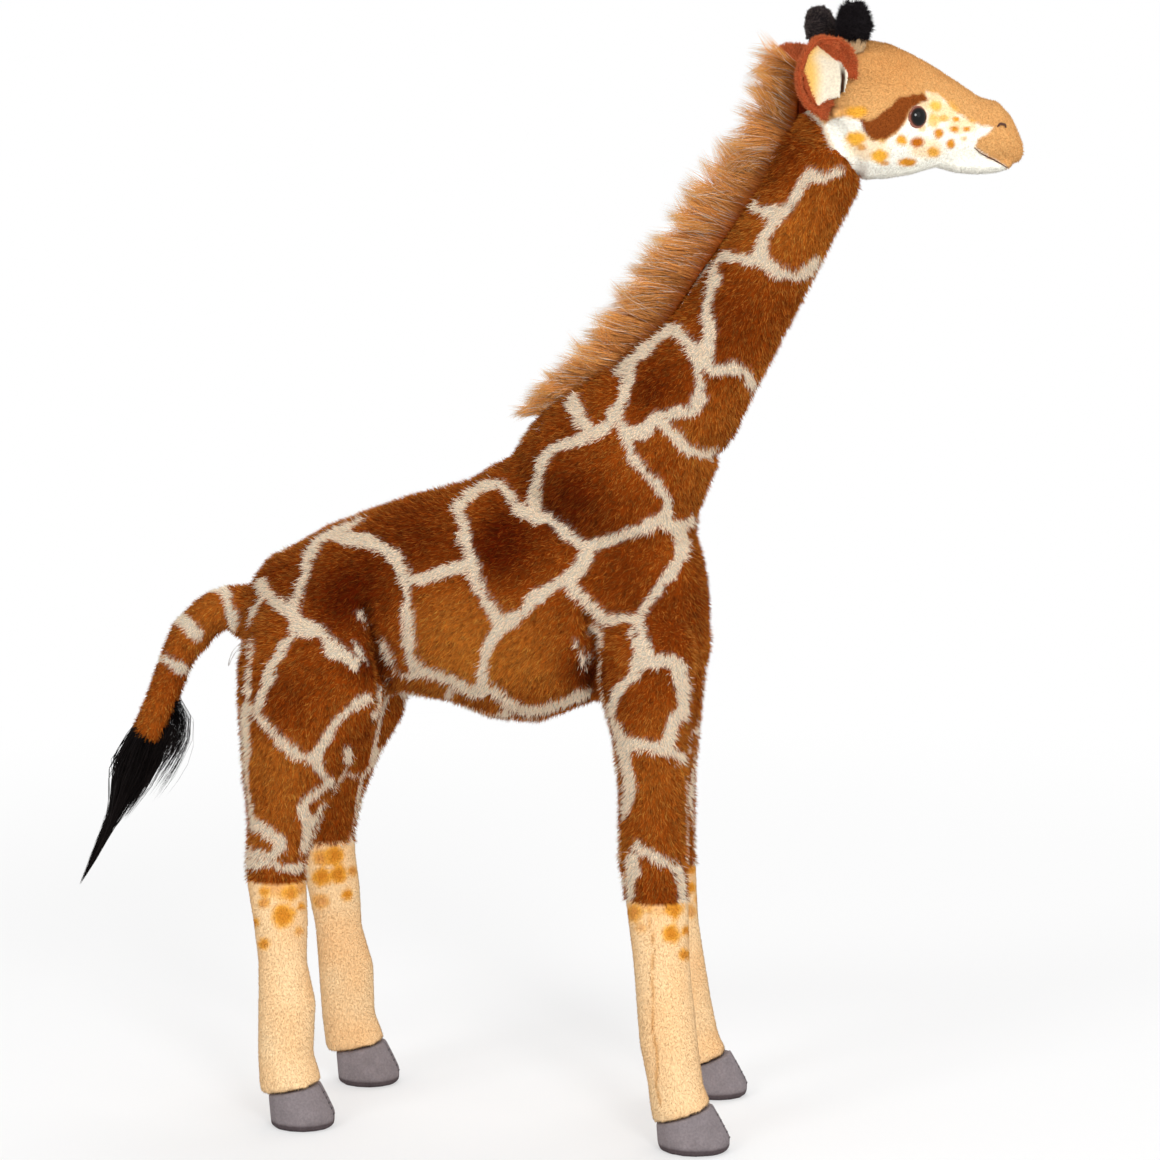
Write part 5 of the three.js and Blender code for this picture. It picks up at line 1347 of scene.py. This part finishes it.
# The ear's skin and its hairs' roots take a darker brown than the tips, as painted shade under the pile
EAR_BROWN, EAR_SHADED_BROWN = linear(218, 118, 72), linear(172, 80, 44)
LINING_VOXEL, LINING_SMOOTHING, LINING_CLEAR = 0.0008, 2, 0.0016
SATIN_ROUGHNESS = 0.6
LINING_SLIT = [(836, 56), (840, 66), (841, 78), (840, 90), (838, 102), (836, 114)]
LINING_SHAPE = [
    (796, 47), (808, 42), (818, 46), (830, 54), (841, 62), (849, 75), (849, 90), (843, 105), (836, 112),
    (832, 108), (829, 99), (818, 106), (812, 95), (805, 74), (799, 58),
]
LINING_OUT = {"right": (0.35, -0.75, 0.1), "left": (0.35, 0.75, 0.1)}
# In the photograph's pixels: the fold's reach before the slit, the edges of the painted shade in the slit,
# and where the yellow begins
FOLD_REACH, FOLD_START = 24, (-1.2, 0.8)
SLIT_WIDTHS, SLIT_MIDDLE, SLIT_ROWS = (3.2, 1.4), -2.0, (60, 76)
WARM_REACH, WARM_ROWS, WARM_TOP = (14, 30), (62, 46), 0.5
FOLD_RISE = 0.0028
LINING_YELLOW, LINING_CREAM, SLIT_PAINTED_SHADE = linear(240, 192, 104), linear(230, 220, 198), linear(58, 34, 20)
satin = dyed_cloth("satin", SATIN_ROUGHNESS, 0.0001)
for hand in ("left", "right"):
    ear_points, ear_faces = sewn([f"ear_{hand}"], [], EAR_VOXEL, EAR_SMOOTHING)
    ear_normals = normals_of(ear_points, ear_faces)
    ear = cloth(f"ear_skin_{hand}", ear_points, ear_faces, np.tile(EAR_SHADED_BROWN, (len(ear_points), 1)), plush)
    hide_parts(f"ear_{hand}")
    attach(ear, f"{hand}_ear")
    lining_points, lining_faces = sewn([f"ear_lining_{hand}"], [], LINING_VOXEL, LINING_SMOOTHING)
    lining_normals = normals_of(lining_points, lining_faces)
    spots = in_picture(head_near(lining_points))
    slit_x = np.interp(spots[:, 1], [y for _, y in LINING_SLIT], [x for x, _ in LINING_SLIT])
    before = slit_x - spots[:, 0]
    faces_out = lining_normals @ unit(np.array(LINING_OUT[hand])) > 0
    fold = np.where(faces_out, eased(FOLD_REACH, 0, before) * eased(*FOLD_START, before), 0)
    lining_points = lining_points + lining_normals * (FOLD_RISE * fold)[:, None]
    warm = np.clip(eased(*WARM_REACH, before) + WARM_TOP * eased(*WARM_ROWS, spots[:, 1]), 0, 1)[:, None]
    # the deep slit's shade is painted dark into the lining's colour
    slit_shade = (eased(*SLIT_WIDTHS, np.abs(before - SLIT_MIDDLE)) * eased(*SLIT_ROWS, spots[:, 1]))[:, None]
    dye = mixed(mixed(LINING_CREAM, LINING_YELLOW, warm), SLIT_PAINTED_SHADE, slit_shade)
    dye = np.where((inside(spots, LINING_SHAPE) < 0)[:, None], EAR_SHADED_BROWN, dye)
    lining = cloth(f"ear_satin_{hand}", lining_points, lining_faces, dye, satin)
    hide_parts(f"ear_lining_{hand}")
    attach(lining, f"{hand}_ear")
    # pile grows all over the ear, but on the lining only outside its bare, pale shape
    roots, normals = planted(ear_points, ear_normals, ear_faces, EAR_PER_CM2, rng)
    near_lining = BVHTree.FromPolygons(lining_points.tolist(), lining_faces.tolist())
    free = np.array([near_lining.find_nearest(Vector(p))[3] > LINING_CLEAR for p in roots])
    over, over_normals = planted(lining_points, lining_normals, lining_faces, EAR_PER_CM2, rng)
    edge = inside(in_picture(head_near(over)), LINING_SHAPE) < 0
    roots = np.concatenate([roots[free], over[edge]])
    normals = np.concatenate([normals[free], over_normals[edge]])
    count = len(roots)
    foot = ear_points[ear_points[:, 2] < ear_points[:, 2].min() + EAR_FOOT].mean(0)
    length = EAR_PILE * rng.uniform(*EAR_LENGTHS_VARY, count)
    stations = leaning(roots, normals, unit(roots - foot), length, rng, **EAR_COMBED)
    vary = rng.uniform(*EAR_DYES_VARY, (count, 1))
    grown = hairs(stations, EAR_THICK, EAR_SHADED_BROWN * vary, EAR_BROWN * vary, rng)
    for piece in lay_pile(f"ear_pile_{hand}", grown, np.arange(count), plush):
        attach(piece, f"{hand}_ear")

# Horns: two stuffed stems of tan plush, each with a black tuft of ruffled pile sewn over its top. The far
# tuft has shorter and paler pile.
HORN_VOXEL, HORN_SMOOTHING = 0.001, 3
FAR_TUFT_SHARE, FAR_TUFT_TONE = 0.5, linear(84, 74, 72)
# Length of the pile, hairs per square centimetre, thickness, colour, slot and lean
HORN_PILES = {
    "horn": (0.0015, 190, 0.00022, linear(232, 196, 150), "tan_plush", 0.8),
    "horn_tuft": (0.0036, 280, 0.00030, linear(38, 34, 36), "black_hair", 0.25),
}
HORN_COMB = np.array((0, 0, -1.0))
HORN_COMBED = dict(spread=0.35, tuft=0.0042, tuft_pull=0.95)
HORN_LENGTHS_VARY, HORN_DYES_VARY = (0.6, 1.3), (0.6, 1.4)
# The stems' skin and the hairs' roots are darkened by these shares as painted shade under the pile
HORN_SKIN_PAINTED_SHADE, HORN_ROOT_PAINTED_SHADE = 0.6, 0.5
for node, (pile, per_cm2, thick, colour, slot, lean) in HORN_PILES.items():
    for hand in ("left", "right"):
        horn_points, horn_faces = sewn([f"{node}_{hand}"], [], HORN_VOXEL, HORN_SMOOTHING)
        horn_normals = normals_of(horn_points, horn_faces)
        skin_tone = np.tile(colour * HORN_SKIN_PAINTED_SHADE, (len(horn_points), 1))
        base = cloth(f"{node}_skin_{hand}", horn_points, horn_faces, skin_tone, plush)
        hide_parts(f"{node}_{hand}")
        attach(base, "head")
        roots, normals = planted(horn_points, horn_normals, horn_faces, per_cm2, rng)
        count = len(roots)
        far = node == "horn_tuft" and hand == "left"
        share, tone = (FAR_TUFT_SHARE, FAR_TUFT_TONE) if far else (1, colour)
        length = pile * rng.uniform(*HORN_LENGTHS_VARY, count) * share
        stations = leaning(roots, normals, HORN_COMB, length, rng, lean=lean, **HORN_COMBED)
        vary = rng.uniform(*HORN_DYES_VARY, (count, 1))
        grown = hairs(stations, thick, tone * HORN_ROOT_PAINTED_SHADE * vary, tone * vary, rng)
        for piece in lay_pile(f"{node}_pile_{hand}", grown, np.arange(count), plush):
            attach(piece, "head")

# Hooves: grey velour over a board insole, with a stitched seam up the front and a darker band at the sole.
# The cuff of the leg is drawn over their top edge.
HOOF_VOXEL, HOOF_SMOOTHING, VELOUR_ROUGHNESS = 0.0014, 4, 0.8
HOOF_GREY, HOOF_DARK = linear(132, 123, 125), linear(84, 74, 76)
HOOF_BAND, HOOF_BAND_SOFT = 0.0045, 0.001
HOOF_WORN, HOOF_WORN_SIZE = 0.10, 0.006
HOOF_SEAM_HALF, HOOF_SEAM_DEPTH, HOOF_SEAM_DARK, HOOF_FRONT = 0.0007, 0.0007, 0.8, 0.2
STITCHES, STITCH_HALF, STITCH_THICK, STITCH_STEPS = 5, 0.0022, 0.00035, 7
# The stitches' shares of the hoof's height, how far their thread stands off the velour and dips into it
STITCH_LOW, STITCH_SPAN = 0.30, 0.5
STITCH_OFF, STITCH_IN, CLEAR_AHEAD = 0.0003, -0.0004, 0.06
velour = dyed_cloth("hoof_velour", VELOUR_ROUGHNESS, 0.0002)
hoof_thread = grained("hoof_thread", 0.6, (52, 46, 48), 0.2, 1500, depth=0.0001)
for leg in LEGS:
    hoof_points, hoof_faces = sewn([f"{leg}_hoof"], [], HOOF_VOXEL, HOOF_SMOOTHING)
    hoof_normals = normals_of(hoof_points, hoof_faces)
    middle = (hoof_points.min(0) + hoof_points.max(0)) / 2
    ahead = (hoof_points[:, 0] > middle[0]) & (hoof_normals[:, 0] > HOOF_FRONT)
    seam = np.where(ahead, np.exp(-((hoof_points[:, 1] - middle[1]) / HOOF_SEAM_HALF) ** 2), 0)
    hoof_points = hoof_points - hoof_normals * (HOOF_SEAM_DEPTH * seam)[:, None]
    band = eased(HOOF_BAND + HOOF_BAND_SOFT, HOOF_BAND - HOOF_BAND_SOFT, hoof_points[:, 2])
    dark = np.clip(band + HOOF_SEAM_DARK * seam, 0, 1)[:, None]
    worn = (1 + HOOF_WORN * ripple(hoof_points, HOOF_WORN_SIZE, 6))[:, None]
    dye = mixed(HOOF_GREY, HOOF_DARK, dark) * worn
    hoof = cloth(f"{leg}_velour", hoof_points, hoof_faces, dye, velour)
    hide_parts(f"{leg}_hoof")
    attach(hoof, leg)
    surface = BVHTree.FromPolygons(hoof_points.tolist(), hoof_faces.tolist())
    for i in range(STITCHES):
        height = middle[2] * 2 * (STITCH_LOW + STITCH_SPAN * i / (STITCHES - 1))
        line = []
        for side in np.linspace(-1, 1, STITCH_STEPS):
            start = Vector((middle[0] + CLEAR_AHEAD, middle[1] + side * STITCH_HALF, height))
            hit, normal, _, _ = surface.ray_cast(start, Vector((-1, 0, 0)))
            line.append(np.array(hit) + np.array(normal) * (STITCH_IN if abs(side) == 1 else STITCH_OFF))
        stitch = cord(f"{leg}_stitch_{i}", np.array(line), STITCH_THICK, hoof_thread)
        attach(stitch, leg)

# Inside the toy: stiff board insoles, cut to the hooves' soles, and black washers of moulded plastic, pressed
# onto the eyes' stems from behind
insole_board = grained("insole_board", 0.85, (172, 148, 112), 0.12, 500)
carried_over(insole_board, *(f"{leg}_insole" for leg in LEGS))
washer_black = grained("washer_black", 0.45, (28, 28, 30), 0.15, 800, depth=0.00005)
carried_over(washer_black, "eye_washer_left", "eye_washer_right")

# Seam ribbon: a bare loop of white woven ribbon, folded in two, with both ends caught in the seam under the
# tail
RIBBON_LINE = [
    (-0.1850, 0.2990), (-0.1900, 0.3002), (-0.1950, 0.2992), (-0.1990, 0.2950), (-0.2012, 0.2895),
    (-0.2018, 0.2862),
]
RIBBON_HALF_WIDTH, RIBBON_PLY, RIBBON_STEPS = 0.006, 0.0004, 30
RIBBON_TWIST, RIBBON_TWIST_RUN, RIBBON_SKEW = 0.5, 0.016, 0.4
LOOP_SHUT, LOOP_OPEN = 0.0006, 0.0014
ribbon_white = grained(
    "ribbon_white", 0.55, (246, 246, 244), 0.04, 1500, stretch=(1, 0.15, 1), depth=0.00008, strength=0.5,
)


def ribbon_mesh():
    """One strip that runs out along the line and back under itself."""
    out = along(RIBBON_LINE, np.linspace(0, 1, RIBBON_STEPS))
    normal = unit(np.stack([-np.gradient(out[:, 1]), np.gradient(out[:, 0])], 1))
    open_by = LOOP_SHUT + LOOP_OPEN * np.sin(np.linspace(0, math.pi, RIBBON_STEPS))[:, None]
    loop = np.concatenate([out, (out + normal * open_by)[::-1]])
    way = unit(np.gradient(loop, axis=0))
    face = np.stack([-way[:, 1], way[:, 0]], 1) * RIBBON_PLY / 2
    form = bmesh.new()
    rows = []
    for (x, z), (nx, nz) in zip(loop, face):
        turn = RIBBON_TWIST * (RIBBON_LINE[0][0] - x) / RIBBON_TWIST_RUN
        row = []
        for y in (-RIBBON_HALF_WIDTH, RIBBON_HALF_WIDTH):
            skew = y * math.sin(turn) * RIBBON_SKEW
            for sign in (-1, 1):
                row.append(form.verts.new((x + sign * nx - skew, y * math.cos(turn), z + sign * nz)))
        rows.append(row)
    for a, b in zip(rows[:-1], rows[1:]):
        for i, j in ((0, 1), (1, 3), (3, 2), (2, 0)):
            form.faces.new((a[i], a[j], b[j], b[i]))
    form.faces.new([rows[0][k] for k in (0, 2, 3, 1)])
    form.faces.new([rows[-1][k] for k in (0, 1, 3, 2)])
    bmesh.ops.recalc_face_normals(form, faces=form.faces)
    mesh = bpy.data.meshes.new("ribbon_loop")
    form.to_mesh(mesh)
    form.free()
    return mesh


ribbon = put("ribbon_loop", ribbon_mesh())
ribbon.data.materials.append(ribbon_white)
ribbon.data.shade_smooth()
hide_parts("seam_ribbon")
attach(ribbon, "body")

# The sizes of the CAD model and of the dressed one, in metres
boxes = {"cad": cad_box, "visual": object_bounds()}
{name: [list(map(float, corner)) for corner in box] for name, box in boxes.items()}
